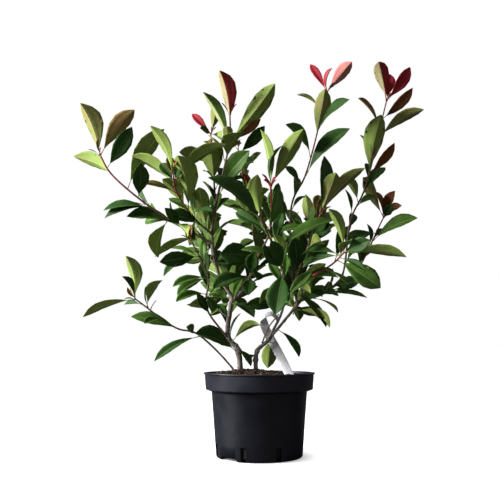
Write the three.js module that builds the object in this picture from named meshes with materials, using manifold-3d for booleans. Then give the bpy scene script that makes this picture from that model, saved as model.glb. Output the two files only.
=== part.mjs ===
// Young red-tipped photinia shrub in a round black nursery pot.
// Millimetres, +Z up, origin at the middle of the pot's flat underside, the show side faces -Y.
// Woody limbs are tapering tubes, and every clump of leaves is one closed, uneven solid: a core
// round its limb with a keeled blade for each large leaf.
import * as THREE from 'three';
import { mergeVertices } from 'three/addons/utils/BufferGeometryUtils.js';
import Module from 'manifold-3d';

// ---------------------------------------------------------------- driving dimensions

const GAP = 0.3;                 // clearance left between neighbouring bodies

const POT = {
  height: 140,                   // 3 litre nursery pot, 19 cm across the rim
  rimRadius: 96,
  lipHeight: 2.6,
  bandTopRadius: 94,
  bandFootRadius: 92,
  bandHeight: 28,
  bodyTopRadius: 82,
  baseRadius: 73.5,
  wall: 1.8,
  floor: 3,
  sides: 26,
  slotBearings: [-73, -21, 24, 77, 129, 180, -125],   // degrees from the show side, positive to the right
  slotWidth: 9,
  slotHeight: 23,
  footArches: { bearings: [-46, 154], width: 38, height: 5 },
};

const COMPOST = { edgeDepth: 6, moundHeight: 4 };

const LABEL = { width: 15, thickness: 0.9, tail: 12 };

const BLADE = {
  keel: 0.42,                    // thickness as a share of the width
  inset: 0.5,                    // start of the blade off a whole limb's axis, as a share of the core
  broad: [[0.3, 0.78], [0.7, 0.98]],             // share of the reach, share of the width
  slim: [[0.56, 0.96]],
  slimWidth: 24,                 // blades up to this wide take the slim outline
};

const GOLDEN_ANGLE = THREE.MathUtils.degToRad(137.5);

// ---------------------------------------------------------------- materials

const paint = (name, color, roughness) =>
  new THREE.MeshStandardMaterial({ name, color, roughness, metalness: 0 });

const MATERIALS = {
  pot: () => paint('pot_black', '#1d1d21', 0.55),
  compost: () => paint('compost_brown', '#4b382b', 0.95),
  label: () => paint('label_white', '#e4e4e8', 0.5),
  bark: () => paint('bark_grey_brown', '#6a5547', 0.85),
  shoot: () => paint('shoot_red', '#6b1e22', 0.55),
  leaf: () => paint('leaf_green', '#48622c', 0.45),
  bronze: () => paint('leaf_bronze', '#6d4d2a', 0.45),
  red: () => paint('leaf_red', '#8e2c33', 0.45),
};

// ---------------------------------------------------------------- limbs
// Headings are read on a clock face seen from the show side: 0 is straight up, 90 is to the right,
// -90 to the left. Lean tilts a heading towards the show side, in degrees.
// parent, at: the limb it leaves and the share of that limb's length; foot: where a stem leaves the
// compost; radii: at its foot and its tip; runs: length, heading and lean of each nearly straight run.

const LIMBS = {
  left_main_stem: {
    foot: [-32, -8, 120], radii: [5.2, 3.8], bark: 'bark', runs: [[60, -5, 0], [25, -40, 0], [70, 5, 0]],
  },
  left_leader: {
    parent: 'left_main_stem', at: 1, radii: [3.3, 1.4], bark: 'bark',
    runs: [[45, -30, 0], [75, -10, 0], [175, 10, 0], [45, 0, 0]],
  },
  left_inner_limb: {
    parent: 'left_main_stem', at: 0.95, radii: [2.7, 2.2], bark: 'bark', runs: [[30, 45, 15], [65, 25, 15]],
  },
  right_main_stem: {
    foot: [-4, 0, 120], radii: [4.4, 3.2], bark: 'bark', runs: [[55, 0, 0], [25, 45, -5]],
  },
  right_limb: {
    parent: 'right_main_stem', at: 1, radii: [2.7, 2.2], bark: 'bark', runs: [[60, 40, -5], [40, 40, -5]],
  },
  right_outer_limb: {
    parent: 'right_limb', at: 0.95, radii: [2.1, 1.9], bark: 'bark', runs: [[30, 75, -10], [35, 60, -10]],
  },
  right_inner_limb: {
    parent: 'right_limb', at: 0.85, radii: [2.1, 1.9], bark: 'bark', runs: [[35, -15, 20]],
  },
  front_bough: {
    parent: 'right_main_stem', at: 1, radii: [2.6, 1.4], bark: 'bark',
    runs: [[75, 25, 35], [65, 0, 35], [110, -25, 35]],
  },
  low_side_stem: {
    foot: [-34, -28, 125], radii: [1.9, 1.3], bark: 'shoot',
    runs: [[15, -20, 0], [95, -45, 5], [35, -75, 5], [85, -55, 5]],
  },
  low_left_bough: {
    parent: 'left_main_stem', at: 0.5, radii: [1.9, 1.2], bark: 'shoot',
    runs: [[75, -35, 15], [50, 5, 15], [70, -25, 20]],
  },
  far_left_bough: {
    parent: 'left_leader', at: 0.3, radii: [2.3, 1.4], bark: 'shoot',
    runs: [[120, -60, 5], [100, -50, 5], [35, -30, 5]],
  },
  upper_left_bough: {
    parent: 'left_leader', at: 0.35, radii: [2.0, 1.3], bark: 'shoot',
    runs: [[40, -50, 20], [60, -35, 25], [30, -10, 25]],
  },
  rear_peak_bough: {
    parent: 'left_leader', at: 0.5, radii: [1.9, 1.2], bark: 'shoot', runs: [[160, -5, -20]],
  },
  centre_bough: {
    parent: 'left_inner_limb', at: 1, radii: [2.0, 1.2], bark: 'shoot',
    runs: [[15, -10, -20], [215, -10, -20]],
  },
  front_centre_bough: {
    parent: 'left_inner_limb', at: 1, radii: [2.0, 1.3], bark: 'shoot', runs: [[55, 25, 35], [80, 0, 40]],
  },
  right_peak_bough: {
    parent: 'right_inner_limb', at: 1, radii: [2.0, 1.2], bark: 'shoot',
    runs: [[150, 0, -5], [60, 25, -5], [170, 15, -5]],
  },
  right_inner_bough: {
    parent: 'right_inner_limb', at: 1, radii: [1.9, 1.3], bark: 'shoot', runs: [[145, 20, 35]],
  },
  right_front_bough: {
    parent: 'right_inner_limb', at: 1, radii: [1.9, 1.3], bark: 'shoot', runs: [[125, 65, 60], [40, 45, 60]],
  },
  far_right_peak_bough: {
    parent: 'right_outer_limb', at: 1, radii: [1.9, 1.2], bark: 'shoot',
    runs: [[25, 40, 0], [105, 10, 0], [60, 25, 0], [175, 15, 0]],
  },
  far_right_bough: {
    parent: 'right_outer_limb', at: 1, radii: [1.8, 1.2], bark: 'shoot',
    runs: [[45, 60, -15], [135, 30, -15]],
  },
  rear_left_bough: {
    parent: 'left_leader', at: 0.2, radii: [2.0, 1.2], bark: 'shoot', runs: [[80, -40, -70], [105, -15, -50]],
  },
  rear_centre_bough: {
    parent: 'left_inner_limb', at: 0.9, radii: [2.0, 1.2], bark: 'shoot',
    runs: [[105, 0, -55], [135, -10, -50]],
  },
  rear_right_bough: {
    parent: 'right_limb', at: 0.95, radii: [2.0, 1.2], bark: 'shoot', runs: [[90, 10, -45], [130, 10, -40]],
  },
  rear_low_bough: {
    parent: 'left_main_stem', at: 0.8, radii: [2.0, 1.2], bark: 'shoot',
    runs: [[75, 0, -65], [105, -15, -60]],
  },
  rear_low_right_bough: {
    parent: 'right_limb', at: 0.55, radii: [1.9, 1.2], bark: 'shoot', runs: [[80, 35, -65], [105, 15, -55]],
  },
};

// ---------------------------------------------------------------- masses of foliage
// limb, from, to: the stretch of limb that the mass sits round; ends: whether the limb stops there;
// core: radius of the mass round the limb; fill: smaller leaves that spiral round behind;
// fans: where on the limb the longest leaves leave it, their headings, reach, lean and width.

const MASSES = {
  far_left_foliage: {
    limb: 'far_left_bough', from: 0.68, to: 1, ends: true, core: 7, fill: 2, tint: 'leaf',
    fans: [[1, [-20, 40], 95, 15, 30], [0.9, [40], 90, 30, 26], [0.85, [-60], 108, -30, 26],
      [0.7, [30], 125, 0, 34]],
  },
  left_shelf_foliage: {
    limb: 'far_left_bough', from: 0.24, to: 0.5, ends: false, core: 7, fill: 1, tint: 'leaf',
    fans: [[0.25, [-80, -45], 80, 20, 24], [0.35, [-170, 140], 75, 35, 24], [0.5, [-105, -90], 80, 5, 20]],
  },
  upper_left_foliage: {
    limb: 'upper_left_bough', from: 0.42, to: 1, ends: true, core: 7, fill: 1, tint: 'leaf',
    fans: [[0.85, [-55], 112, -30, 26], [1, [-25], 90, 10, 22], [0.9, [55], 110, 5, 26],
      [0.9, [-35, 15], 45, -15, 18], [0.45, [-10], 100, 20, 38], [0.5, [-40], 65, 30, 25]],
  },
  left_peak_foliage: {
    limb: 'left_leader', from: 0.86, to: 1, ends: true, core: 7, fill: 1, tint: 'bronze',
    fans: [[0.85, [40], 130, 15, 34], [0.85, [50], 75, -10, 16], [0.85, [-30], 105, 10, 24],
      [1, [-10], 80, 35, 28]],
  },
  left_collar_foliage: {
    limb: 'left_leader', from: 0.58, to: 0.76, ends: false, core: 8, fill: 1, tint: 'leaf',
    fans: [[0.6, [45], 90, 35, 32], [0.6, [50], 80, 0, 28], [0.75, [40], 80, 60, 34],
      [0.6, [-20], 75, -30, 34]],
  },
  rear_peak_foliage: {
    limb: 'rear_peak_bough', from: 0.55, to: 1, ends: true, core: 7, fill: 1, tint: 'bronze',
    fans: [[1, [-40, 15], 60, 40, 22], [1, [140], 70, 60, 16], [0.55, [-70], 65, 10, 24]],
  },
  centre_top_foliage: {
    limb: 'centre_bough', from: 0.62, to: 1, ends: true, core: 9, fill: 2, tint: 'leaf',
    fans: [[0.65, [20], 55, 15, 20], [0.95, [50], 75, 35, 26]],
  },
  front_centre_foliage: {
    limb: 'front_centre_bough', from: 0.75, to: 1, ends: true, core: 7, fill: 1, tint: 'leaf',
    fans: [[1, [-10], 95, 5, 18], [1, [30], 105, 5, 25], [1, [15], 65, 5, 15]],
  },
  front_foliage: {
    limb: 'front_bough', from: 0.78, to: 1, ends: true, core: 8, fill: 1, tint: 'leaf',
    fans: [[0.75, [62], 105, 5, 26], [0.9, [15], 75, 0, 22], [0.95, [-50], 115, 10, 36],
      [1, [-5], 70, 5, 28]],
  },
  front_skirt_foliage: {
    limb: 'front_bough', from: 0.45, to: 0.7, ends: false, core: 8, fill: 1, tint: 'leaf',
    fans: [[0.6, [-170], 82, 25, 38], [0.6, [-45, -25], 60, 40, 22], [0.7, [-40], 80, 5, 15]],
  },
  right_peak_foliage: {
    limb: 'right_peak_bough', from: 0.7, to: 1, ends: true, core: 6, fill: 1, tint: 'bronze',
    fans: [[1, [-45, 45], 70, 30, 22], [1, [10], 45, 35, 15], [0.9, [-60], 55, 10, 20],
      [0.75, [10], 90, 25, 30], [0.8, [55], 85, 45, 26], [0.7, [-50], 85, 45, 26]],
  },
  right_collar_foliage: {
    limb: 'right_peak_bough', from: 0.46, to: 0.62, ends: false, core: 7, fill: 2, tint: 'leaf',
    fans: [[0.5, [-45], 45, 25, 15], [0.55, [45], 115, 20, 30]],
  },
  right_inner_foliage: {
    limb: 'right_inner_bough', from: 0.62, to: 1, ends: true, core: 9, fill: 1, tint: 'leaf',
    fans: [[1, [20], 75, 30, 28], [1, [45], 105, 25, 22], [1, [-5], 110, 0, 30], [0.7, [35, 70], 55, 55, 24]],
  },
  far_right_peak_foliage: {
    limb: 'far_right_peak_bough', from: 0.81, to: 1, ends: true, core: 6, fill: 1, tint: 'red',
    fans: [[1, [-20, 40], 75, 40, 24], [1, [10], 55, -5, 20], [0.8, [60], 95, 15, 24],
      [0.85, [-50], 80, 40, 24], [0.9, [50], 85, 50, 24]],
  },
  far_right_collar_foliage: {
    limb: 'far_right_peak_bough', from: 0.46, to: 0.7, ends: false, core: 6, fill: 1, tint: 'leaf',
    fans: [[0.5, [-40], 65, 45, 20], [0.5, [40], 70, -10, 24], [0.6, [10], 110, 20, 38],
      [0.6, [40], 80, 45, 24], [0.65, [-15], 65, -10, 14]],
  },
  far_right_foliage: {
    limb: 'far_right_bough', from: 0.72, to: 1, ends: true, core: 7, fill: 1, tint: 'bronze',
    fans: [[1, [-30], 90, 30, 24], [1, [20, 60], 55, 40, 18], [0.7, [65], 95, 35, 28],
      [0.8, [-115], 80, 30, 24]],
  },
  right_front_foliage: {
    limb: 'right_front_bough', from: 0.8, to: 1, ends: true, core: 8, fill: 1, tint: 'leaf',
    fans: [[1, [95], 95, 5, 22], [0.85, [125], 80, 10, 30], [0.95, [-140, -105], 65, -20, 18],
      [1, [-25], 80, 35, 18], [0.95, [30, 70], 55, 60, 20]],
  },
  right_heart_foliage: {
    limb: 'right_inner_limb', from: 0.4, to: 0.95, ends: false, core: 9, fill: 1, tint: 'leaf',
    fans: [[0.75, [140], 85, 15, 24], [0.9, [-10], 85, 30, 30], [0.9, [-60, 120], 50, 50, 18]],
  },
  right_low_foliage: {
    limb: 'right_outer_limb', from: 0.4, to: 0.95, ends: false, core: 7, fill: 1, tint: 'leaf',
    fans: [[0.6, [95], 80, 10, 14], [0.9, [80], 70, 50, 22], [0.5, [140, -30], 65, 25, 24]],
  },
  right_skirt_foliage: {
    limb: 'right_limb', from: 0.12, to: 0.4, ends: false, core: 6, fill: 1, tint: 'leaf',
    fans: [[0.12, [-175], 58, -25, 26], [0.3, [145], 75, 40, 18]],
  },
  left_heart_foliage: {
    limb: 'left_inner_limb', from: 0.4, to: 0.95, ends: false, core: 10, fill: 1, tint: 'leaf',
    fans: [[0.6, [10, -175], 65, 50, 22], [0.6, [-110], 75, 30, 25], [0.95, [-90], 70, 25, 36]],
  },
  left_skirt_foliage: {
    limb: 'left_main_stem', from: 0.5, to: 0.82, ends: false, core: 8, fill: 1, tint: 'leaf',
    fans: [[0.55, [60], 80, 45, 18], [0.5, [-60], 85, 35, 32], [0.8, [125], 80, 50, 20]],
  },
  low_left_foliage: {
    limb: 'low_left_bough', from: 0.45, to: 1, ends: true, core: 8, fill: 1, tint: 'leaf',
    fans: [[0.5, [-110], 80, 45, 22], [0.5, [105], 60, 50, 16], [0.65, [-120], 75, 40, 22],
      [0.85, [-125, -105], 80, 40, 20]],
  },
  side_stem_foliage: {
    limb: 'low_side_stem', from: 0.88, to: 1, ends: true, core: 4.5, fill: 0, tint: 'leaf',
    fans: [[0.9, [40], 65, 30, 20], [1, [-110], 90, 10, 16], [1, [-10], 75, 20, 28],
      [1, [-25], 50, 40, 15]],
  },
  side_stem_low_foliage: {
    limb: 'low_side_stem', from: 0.42, to: 0.64, ends: false, core: 4, fill: 0, tint: 'leaf',
    fans: [[0.45, [-120], 90, 25, 16], [0.5, [-50], 30, 65, 14], [0.65, [-80], 80, 10, 18]],
  },
  rear_left_foliage: {
    limb: 'rear_left_bough', from: 0.55, to: 1, ends: true, core: 12, fill: 7, tint: 'leaf', fans: [],
  },
  rear_centre_foliage: {
    limb: 'rear_centre_bough', from: 0.55, to: 1, ends: true, core: 12, fill: 7, tint: 'leaf', fans: [],
  },
  rear_right_foliage: {
    limb: 'rear_right_bough', from: 0.55, to: 1, ends: true, core: 12, fill: 7, tint: 'leaf', fans: [],
  },
  rear_low_foliage: {
    limb: 'rear_low_bough', from: 0.5, to: 1, ends: true, core: 11, fill: 6, tint: 'leaf', fans: [],
  },
  rear_low_right_foliage: {
    limb: 'rear_low_right_bough', from: 0.5, to: 1, ends: true, core: 11, fill: 6, tint: 'leaf', fans: [],
  },
};

// ---------------------------------------------------------------- solids

const wasm = await Module();
wasm.setup();

/** Closed three.js geometry to a manifold solid. */
function solid(geometry) {
  geometry.deleteAttribute('normal');
  geometry.deleteAttribute('uv');
  const welded = mergeVertices(geometry, 1e-4);
  const mesh = new wasm.Mesh({
    numProp: 3,
    vertProperties: new Float32Array(welded.attributes.position.array),
    triVerts: new Uint32Array(welded.index.array),
  });
  return new wasm.Manifold(mesh);
}

/** The largest separate piece of a solid, without slivers. */
function mainPiece(body) {
  const pieces = body.decompose();
  pieces.sort((a, b) => b.volume() - a.volume());
  return pieces[0];
}

/** Closed skin over a list of rings that all have the same number of corners. */
function loft(rings, start, end) {
  const sides = rings[0].length;
  const points = [start, ...rings.flat(), end];
  const at = (ring, corner) => 1 + ring * sides + (corner % sides);
  const faces = [];
  for (let k = 0; k < sides; k += 1) {
    faces.push(0, at(0, k + 1), at(0, k));
    for (let r = 0; r + 1 < rings.length; r += 1) {
      faces.push(at(r, k), at(r, k + 1), at(r + 1, k + 1));
      faces.push(at(r, k), at(r + 1, k + 1), at(r + 1, k));
    }
    faces.push(points.length - 1, at(rings.length - 1, k), at(rings.length - 1, k + 1));
  }
  const geometry = new THREE.BufferGeometry();
  geometry.setAttribute('position', new THREE.Float32BufferAttribute(
    points.flatMap((p) => [p.x, p.y, p.z]), 3));
  geometry.setIndex(faces);
  return geometry;
}

/** Ring of corners round a centre, in the plane of two unit directions. */
function ring(centre, across, away, halfWidth, halfDepth, sides, turn = 0) {
  return Array.from({ length: sides }, (_, k) => {
    const angle = turn + (k / sides) * 2 * Math.PI;
    return centre.clone()
      .addScaledVector(across, halfWidth * Math.cos(angle))
      .addScaledVector(away, halfDepth * Math.sin(angle));
  });
}

/** Tube along a stretch of curve whose radius is a function of the share of its length. */
function tube(curve, from, to, steps, sides, radius) {
  const rings = [];
  const side = new THREE.Vector3(0, 1, 0.13).normalize();
  for (let i = 0; i <= steps; i += 1) {
    const share = from + ((to - from) * i) / steps;
    const along = curve.getTangentAt(share);
    const across = side.clone().cross(along).normalize();
    const away = along.clone().cross(across).normalize();
    const r = radius(share);
    rings.push(ring(curve.getPointAt(share), across, away, r, r, sides));
  }
  return loft(rings, curve.getPointAt(from), curve.getPointAt(to));
}

// ---------------------------------------------------------------- limbs

/** Unit direction from a heading on the clock face and a lean towards the show side. */
function headingVector(clock, lean) {
  const c = THREE.MathUtils.degToRad(clock);
  const l = THREE.MathUtils.degToRad(lean);
  return new THREE.Vector3(Math.sin(c) * Math.cos(l), -Math.sin(l), Math.cos(c) * Math.cos(l));
}

const curves = {};
for (const [name, { parent, at, foot, runs }] of Object.entries(LIMBS)) {
  const places = [parent ? curves[parent].getPointAt(at) : new THREE.Vector3(...foot)];
  for (const [length, clock, lean] of runs) {
    places.push(places.at(-1).clone().addScaledVector(headingVector(clock, lean), length));
  }
  curves[name] = new THREE.CatmullRomCurve3(places, false, 'centripetal');
}

/** Radius along a limb: a true taper, with a flare where a stem leaves the compost. */
function limbRadius(name, extra = 0) {
  const { parent, radii: [foot, tip] } = LIMBS[name];
  const length = curves[name].getLength();
  return (share) => {
    const flare = parent ? 0 : 0.35 * foot * Math.exp(-(share * length) / 22);
    return foot + (tip - foot) * share ** 0.8 + flare + extra;
  };
}

function limbSolid(name, extra = 0) {
  const curve = curves[name];
  const thick = LIMBS[name].radii[0] > 2.5;
  const steps = Math.max(3, Math.round(curve.getLength() / (thick ? 32 : 44)));
  return solid(tube(curve, 0, 1, steps, thick ? 6 : 5, limbRadius(name, extra)));
}

// ---------------------------------------------------------------- foliage

/** One keeled blade: pointed at the stalk and the tip, widest past the middle. */
function blade(foot, direction, facing, reach, width, inset, extra = 0) {
  const across = facing.clone().cross(direction).normalize();
  const away = direction.clone().cross(across).normalize();
  const stations = width > BLADE.slimWidth ? BLADE.broad : BLADE.slim;
  const rings = stations.map(([share, wide]) => {
    const half = (wide * width) / 2 + extra;
    const centre = foot.clone().addScaledVector(direction, share * reach);
    return ring(centre, across, away, half, half * BLADE.keel + 1.2, 4);
  });
  const start = foot.clone().addScaledVector(direction, inset - extra);
  return solid(loft(rings, start, foot.clone().addScaledVector(direction, reach + extra)));
}

/** One mass of leaves: an uneven core round its limb, joined by its blades. */
function massSolid(name, extra = 0) {
  const { limb, from, to, ends, core, fill, fans } = MASSES[name];
  const curve = curves[limb];
  const seed = name.length * 1.7 + from * 9;
  const steps = Math.max(2, Math.round(((to - from) * curve.getLength()) / 34));
  const radius = (share) => {
    const t = (share - from) / (to - from);
    const swell = 0.45 + 0.55 * Math.sin(Math.PI * (0.12 + 0.8 * t)) ** 0.7;
    return core * swell * (1 + 0.18 * Math.sin(seed + share * 23)) + extra;
  };
  const inset = (share) => (ends ? 0 : BLADE.inset * radius(share));
  let mass = solid(tube(curve, from, to, steps, 5, radius));
  const front = new THREE.Vector3(0, -1, 0);
  for (const [at, clocks, reach, lean, width] of fans) {
    const share = THREE.MathUtils.clamp(at, from + 0.01, to - 0.01);
    const foot = curve.getPointAt(share);
    for (const clock of clocks) {
      const direction = headingVector(clock, lean);
      mass = mass.add(blade(foot, direction, front, reach, width, inset(share), extra));
    }
  }
  for (let i = 0; i < fill; i += 1) {
    const share = from + ((to - from) * (i + 0.7)) / (fill + 0.4);
    const along = curve.getTangentAt(share);
    const side = front.clone().cross(along).normalize();
    const back = along.clone().cross(side).normalize();
    const turn = seed + i * GOLDEN_ANGLE;
    const spread = fans.length ? Math.abs(Math.sin(turn)) * 0.9 + 0.1 : Math.sin(turn);
    const outward = side.multiplyScalar(Math.cos(turn)).addScaledVector(back, -spread);
    if (fans.length) outward.y = Math.abs(outward.y);
    const direction = along.clone().multiplyScalar(0.75).add(outward).normalize();
    const reach = 62 + 12 * Math.sin(seed * 3 + i * 2.3);
    const foot = curve.getPointAt(share);
    mass = mass.add(blade(foot, direction, along, reach, BLADE.slimWidth, inset(share), extra));
  }
  return mass.simplify(0.6);
}

// ---------------------------------------------------------------- pot, compost and label

/** Solid of revolution from [radius, height] pairs that start and end on the axis. */
function turned(profile, sides) {
  const points = profile.map(([r, z]) => new THREE.Vector2(r, z));
  const geometry = new THREE.LatheGeometry(points, sides);
  geometry.rotateX(Math.PI / 2);
  return solid(geometry);
}

function boxAt(width, depth, height, radius, bearing, z) {
  const box = new THREE.BoxGeometry(width, depth, height);
  const angle = THREE.MathUtils.degToRad(bearing);
  box.rotateZ(angle);
  box.translate(radius * Math.sin(angle), -radius * Math.cos(angle), z);
  return solid(box);
}

function potSolid() {
  const shoulder = POT.height - POT.bandHeight;
  const lipFoot = POT.height - POT.lipHeight;
  const inner = (r) => r - POT.wall;
  let pot = turned([
    [0, 0],
    [POT.baseRadius - 1.6, 0],
    [POT.baseRadius, 2],
    [POT.bodyTopRadius, shoulder - 3.5],
    [POT.bandFootRadius, shoulder],
    [POT.bandTopRadius, lipFoot],
    [POT.rimRadius, lipFoot + 0.4],
    [POT.rimRadius, POT.height],
    [inner(POT.bandTopRadius), POT.height],
    [inner(POT.bandFootRadius), shoulder + 1],
    [inner(POT.bodyTopRadius), shoulder - 2.5],
    [inner(POT.baseRadius), POT.floor],
    [0, POT.floor],
  ], POT.sides);
  for (const bearing of POT.slotBearings) {
    const height = POT.slotHeight - 3;
    pot = pot.subtract(boxAt(POT.slotWidth, 14, height, POT.baseRadius, bearing, 3 + height / 2));
  }
  for (const bearing of POT.footArches.bearings) {
    const { width, height } = POT.footArches;
    pot = pot.subtract(boxAt(width, 4, height, POT.baseRadius + 1, bearing, height / 2 - 0.5));
  }
  return mainPiece(pot);
}

/** Compost fills the pot to just under the rim and rises to a low mound round the stems. */
function compostSolid() {
  const shoulder = POT.height - POT.bandHeight;
  const inside = (r) => r - POT.wall - GAP;
  const edge = POT.height - COMPOST.edgeDepth;
  const top = POT.height + COMPOST.moundHeight;
  return turned([
    [0, POT.floor + GAP],
    [inside(POT.baseRadius) - 0.2, POT.floor + GAP],
    [inside(POT.bodyTopRadius) - 0.2, shoulder - 2.1],
    [inside(POT.bandFootRadius) - 0.4, shoulder + 1.4],
    [inside(POT.bandTopRadius) - 0.9, edge],
    [60, edge + 4.5],
    [38, top - 2],
    [0, top],
  ], POT.sides);
}

/** Bare strap label: its foot in the compost, its top folded over behind the right stem's fork. */
function labelSolid() {
  const route = [[52, -36, 132], [41, -14, 158], [28, 6, 184], [15, 15, 208], [9, 17, 226],
    [13, 13, 239], [24, 9, 241], [34, 11, 230]];
  const curve = new THREE.CatmullRomCurve3(route.map((p) => new THREE.Vector3(...p)));
  const steps = 12;
  const rings = [];
  const slant = new THREE.Vector3(0.86, 0, 0.5);
  for (let i = 0; i <= steps; i += 1) {
    const share = i / steps;
    const along = curve.getTangentAt(share);
    const taper = THREE.MathUtils.smoothstep(share, 0.7, 0.85);
    const half = THREE.MathUtils.lerp(LABEL.width, LABEL.tail, taper) / 2;
    const lay = slant.clone().lerp(new THREE.Vector3(0.12, 0.66, 0.67), taper);
    const across = lay.addScaledVector(along, -lay.dot(along)).normalize();
    const away = along.clone().cross(across).normalize();
    const centre = curve.getPointAt(share);
    rings.push([[1, 1], [-1, 1], [-1, -1], [1, -1]].map(([a, b]) => centre.clone()
      .addScaledVector(across, a * half)
      .addScaledVector(away, (b * LABEL.thickness) / 2)));
  }
  return solid(loft(rings, curve.getPointAt(0), curve.getPointAt(1)));
}

// ---------------------------------------------------------------- cutting the bodies apart

const bodies = {};
const limbsOut = {};
for (const name of Object.keys(LIMBS)) {
  limbsOut[name] = limbSolid(name, GAP);
  let limb = limbSolid(name);
  for (const other of Object.keys(bodies)) limb = limb.subtract(limbsOut[other]);
  bodies[name] = mainPiece(limb);
}

const massesOut = {};
for (const [name, { limb, ends }] of Object.entries(MASSES)) {
  massesOut[name] = massSolid(name, 2 * GAP);
  if (ends) bodies[limb] = mainPiece(bodies[limb].subtract(massesOut[name]));
}

const label = labelSolid();
const compost = compostSolid();
const done = [];
for (const [name, { limb, ends }] of Object.entries(MASSES)) {
  let mass = massSolid(name);
  for (const other of Object.keys(LIMBS)) {
    if (!(ends && other === limb)) mass = mass.subtract(limbsOut[other]);
  }
  for (const other of done) mass = mass.subtract(massesOut[other]);
  bodies[name] = mainPiece(mass).simplify(0.1);
  done.push(name);
}

bodies.pot = potSolid();
bodies.compost = compost;
for (const name of Object.keys(LIMBS)) {
  if (!LIMBS[name].parent) bodies.compost = bodies.compost.subtract(limbsOut[name]);
}
bodies.compost = mainPiece(bodies.compost.subtract(label));
bodies.plant_label = label;

// ---------------------------------------------------------------- scene graph

function nodeOf(name, body, material) {
  const { vertProperties, triVerts } = body.getMesh();
  const geometry = new THREE.BufferGeometry();
  geometry.setAttribute('position', new THREE.Float32BufferAttribute(vertProperties, 3));
  geometry.setIndex(Array.from(triVerts));
  const flat = geometry.toNonIndexed();
  flat.computeVertexNormals();
  const mesh = new THREE.Mesh(flat, material);
  mesh.name = name;
  return mesh;
}

const plant = new THREE.Group();
plant.name = 'photinia_red_robin';

const potGroup = new THREE.Group();
potGroup.name = 'container';
potGroup.add(nodeOf('pot', bodies.pot, MATERIALS.pot()));
potGroup.add(nodeOf('compost', bodies.compost, MATERIALS.compost()));
potGroup.add(nodeOf('plant_label', bodies.plant_label, MATERIALS.label()));
plant.add(potGroup);

const wood = new THREE.Group();
wood.name = 'limbs';
for (const [name, { bark }] of Object.entries(LIMBS)) {
  wood.add(nodeOf(name, bodies[name], MATERIALS[bark]()));
}
plant.add(wood);

const foliage = new THREE.Group();
foliage.name = 'foliage';
for (const [name, { tint }] of Object.entries(MASSES)) {
  foliage.add(nodeOf(name, bodies[name], MATERIALS[tint]()));
}
plant.add(foliage);

export default plant;
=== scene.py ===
# %% [markdown]
# # A young photinia in its nursery pot
# The plant is a small evergreen shrub: woody stems rise from the compost, fork into boughs, and carry long,
# glossy leaves, red or bronze at the growing tips and green lower down. The frame loaded here holds the
# measured solids of the same plant. They give every piece its place and its limits.

import bisect
import math
import random

import bpy
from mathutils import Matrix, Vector, noise


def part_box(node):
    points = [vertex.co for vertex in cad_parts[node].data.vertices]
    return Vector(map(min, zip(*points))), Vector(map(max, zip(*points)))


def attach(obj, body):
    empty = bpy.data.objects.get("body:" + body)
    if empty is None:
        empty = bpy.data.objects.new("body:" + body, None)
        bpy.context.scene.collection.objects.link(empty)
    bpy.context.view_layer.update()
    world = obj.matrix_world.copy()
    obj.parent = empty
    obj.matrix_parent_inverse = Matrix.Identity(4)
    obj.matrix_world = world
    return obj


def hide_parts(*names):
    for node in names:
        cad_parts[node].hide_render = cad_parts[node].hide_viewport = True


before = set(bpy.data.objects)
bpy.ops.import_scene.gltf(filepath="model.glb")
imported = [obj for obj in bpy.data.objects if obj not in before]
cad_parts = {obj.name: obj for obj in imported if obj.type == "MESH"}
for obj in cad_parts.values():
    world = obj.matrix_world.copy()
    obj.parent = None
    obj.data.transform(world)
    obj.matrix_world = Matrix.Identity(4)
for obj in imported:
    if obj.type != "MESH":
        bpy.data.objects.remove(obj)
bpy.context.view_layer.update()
MM = 0.001
UP = Vector((0, 0, 1))
SEED = 7
rng = random.Random(SEED)

# %% [markdown]
# ## Small tools
# A plant has thousands of small faces, and Blender is quickest when they are handed over as plain
# lists. The builder below collects corners, faces and a finish number for each face, then makes one
# joined piece. Operators such as primitive_add would be far slower and would leave hundreds of
# objects. Colours are written as the hex codes that a colour picker shows, and turned into the
# linear values that shaders use.

# %% A builder for joined pieces
def linear(code):
    """Hex colour from a colour picker as linear RGBA."""
    parts = [int(code[i:i + 2], 16) / 255 for i in (1, 3, 5)]
    return tuple(c / 12.92 if c <= 0.04045 else ((c + 0.055) / 1.055) ** 2.4 for c in parts) + (1.0,)


class Builder:
    """Collects corners and faces, then makes one joined mesh piece."""

    def __init__(self):
        self.corners, self.faces, self.finish = [], [], []

    def add(self, corners, faces, finish):
        start = len(self.corners)
        self.corners.extend(corners)
        self.faces.extend(tuple(start + i for i in face) for face in faces)
        self.finish.extend(finish if isinstance(finish, list) else [finish] * len(faces))

    def piece(self, name, materials, smooth=True):
        mesh = bpy.data.meshes.new(name)
        mesh.from_pydata(self.corners, [], self.faces)
        for material in materials:
            mesh.materials.append(material)
        mesh.polygons.foreach_set("material_index", self.finish)
        mesh.polygons.foreach_set("use_smooth", [smooth] * len(self.faces))
        mesh.update()
        obj = bpy.data.objects.new(name, mesh)
        bpy.context.scene.collection.objects.link(obj)
        print(f"{name}: {len(self.faces)} faces")
        return obj


def round_angles(count):
    """Even angles once round a circle."""
    return [2 * math.pi * k / count for k in range(count)]


def skin(rings, start=None, end=None):
    """Corners and faces of a closed skin over rings with the same number of corners."""
    sides = len(rings[0])
    corners = [p for ring in rings for p in ring]
    faces = []
    for r in range(len(rings) - 1):
        for k in range(sides):
            a, b = r * sides + k, r * sides + (k + 1) % sides
            faces.append((a, b, b + sides, a + sides))
    last = (len(rings) - 1) * sides
    if start is not None:
        corners.append(start)
        faces += [(len(corners) - 1, (k + 1) % sides, k) for k in range(sides)]
    if end is not None:
        corners.append(end)
        faces += [(len(corners) - 1, last + k, last + (k + 1) % sides) for k in range(sides)]
    return corners, faces


print("builder ready")

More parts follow.
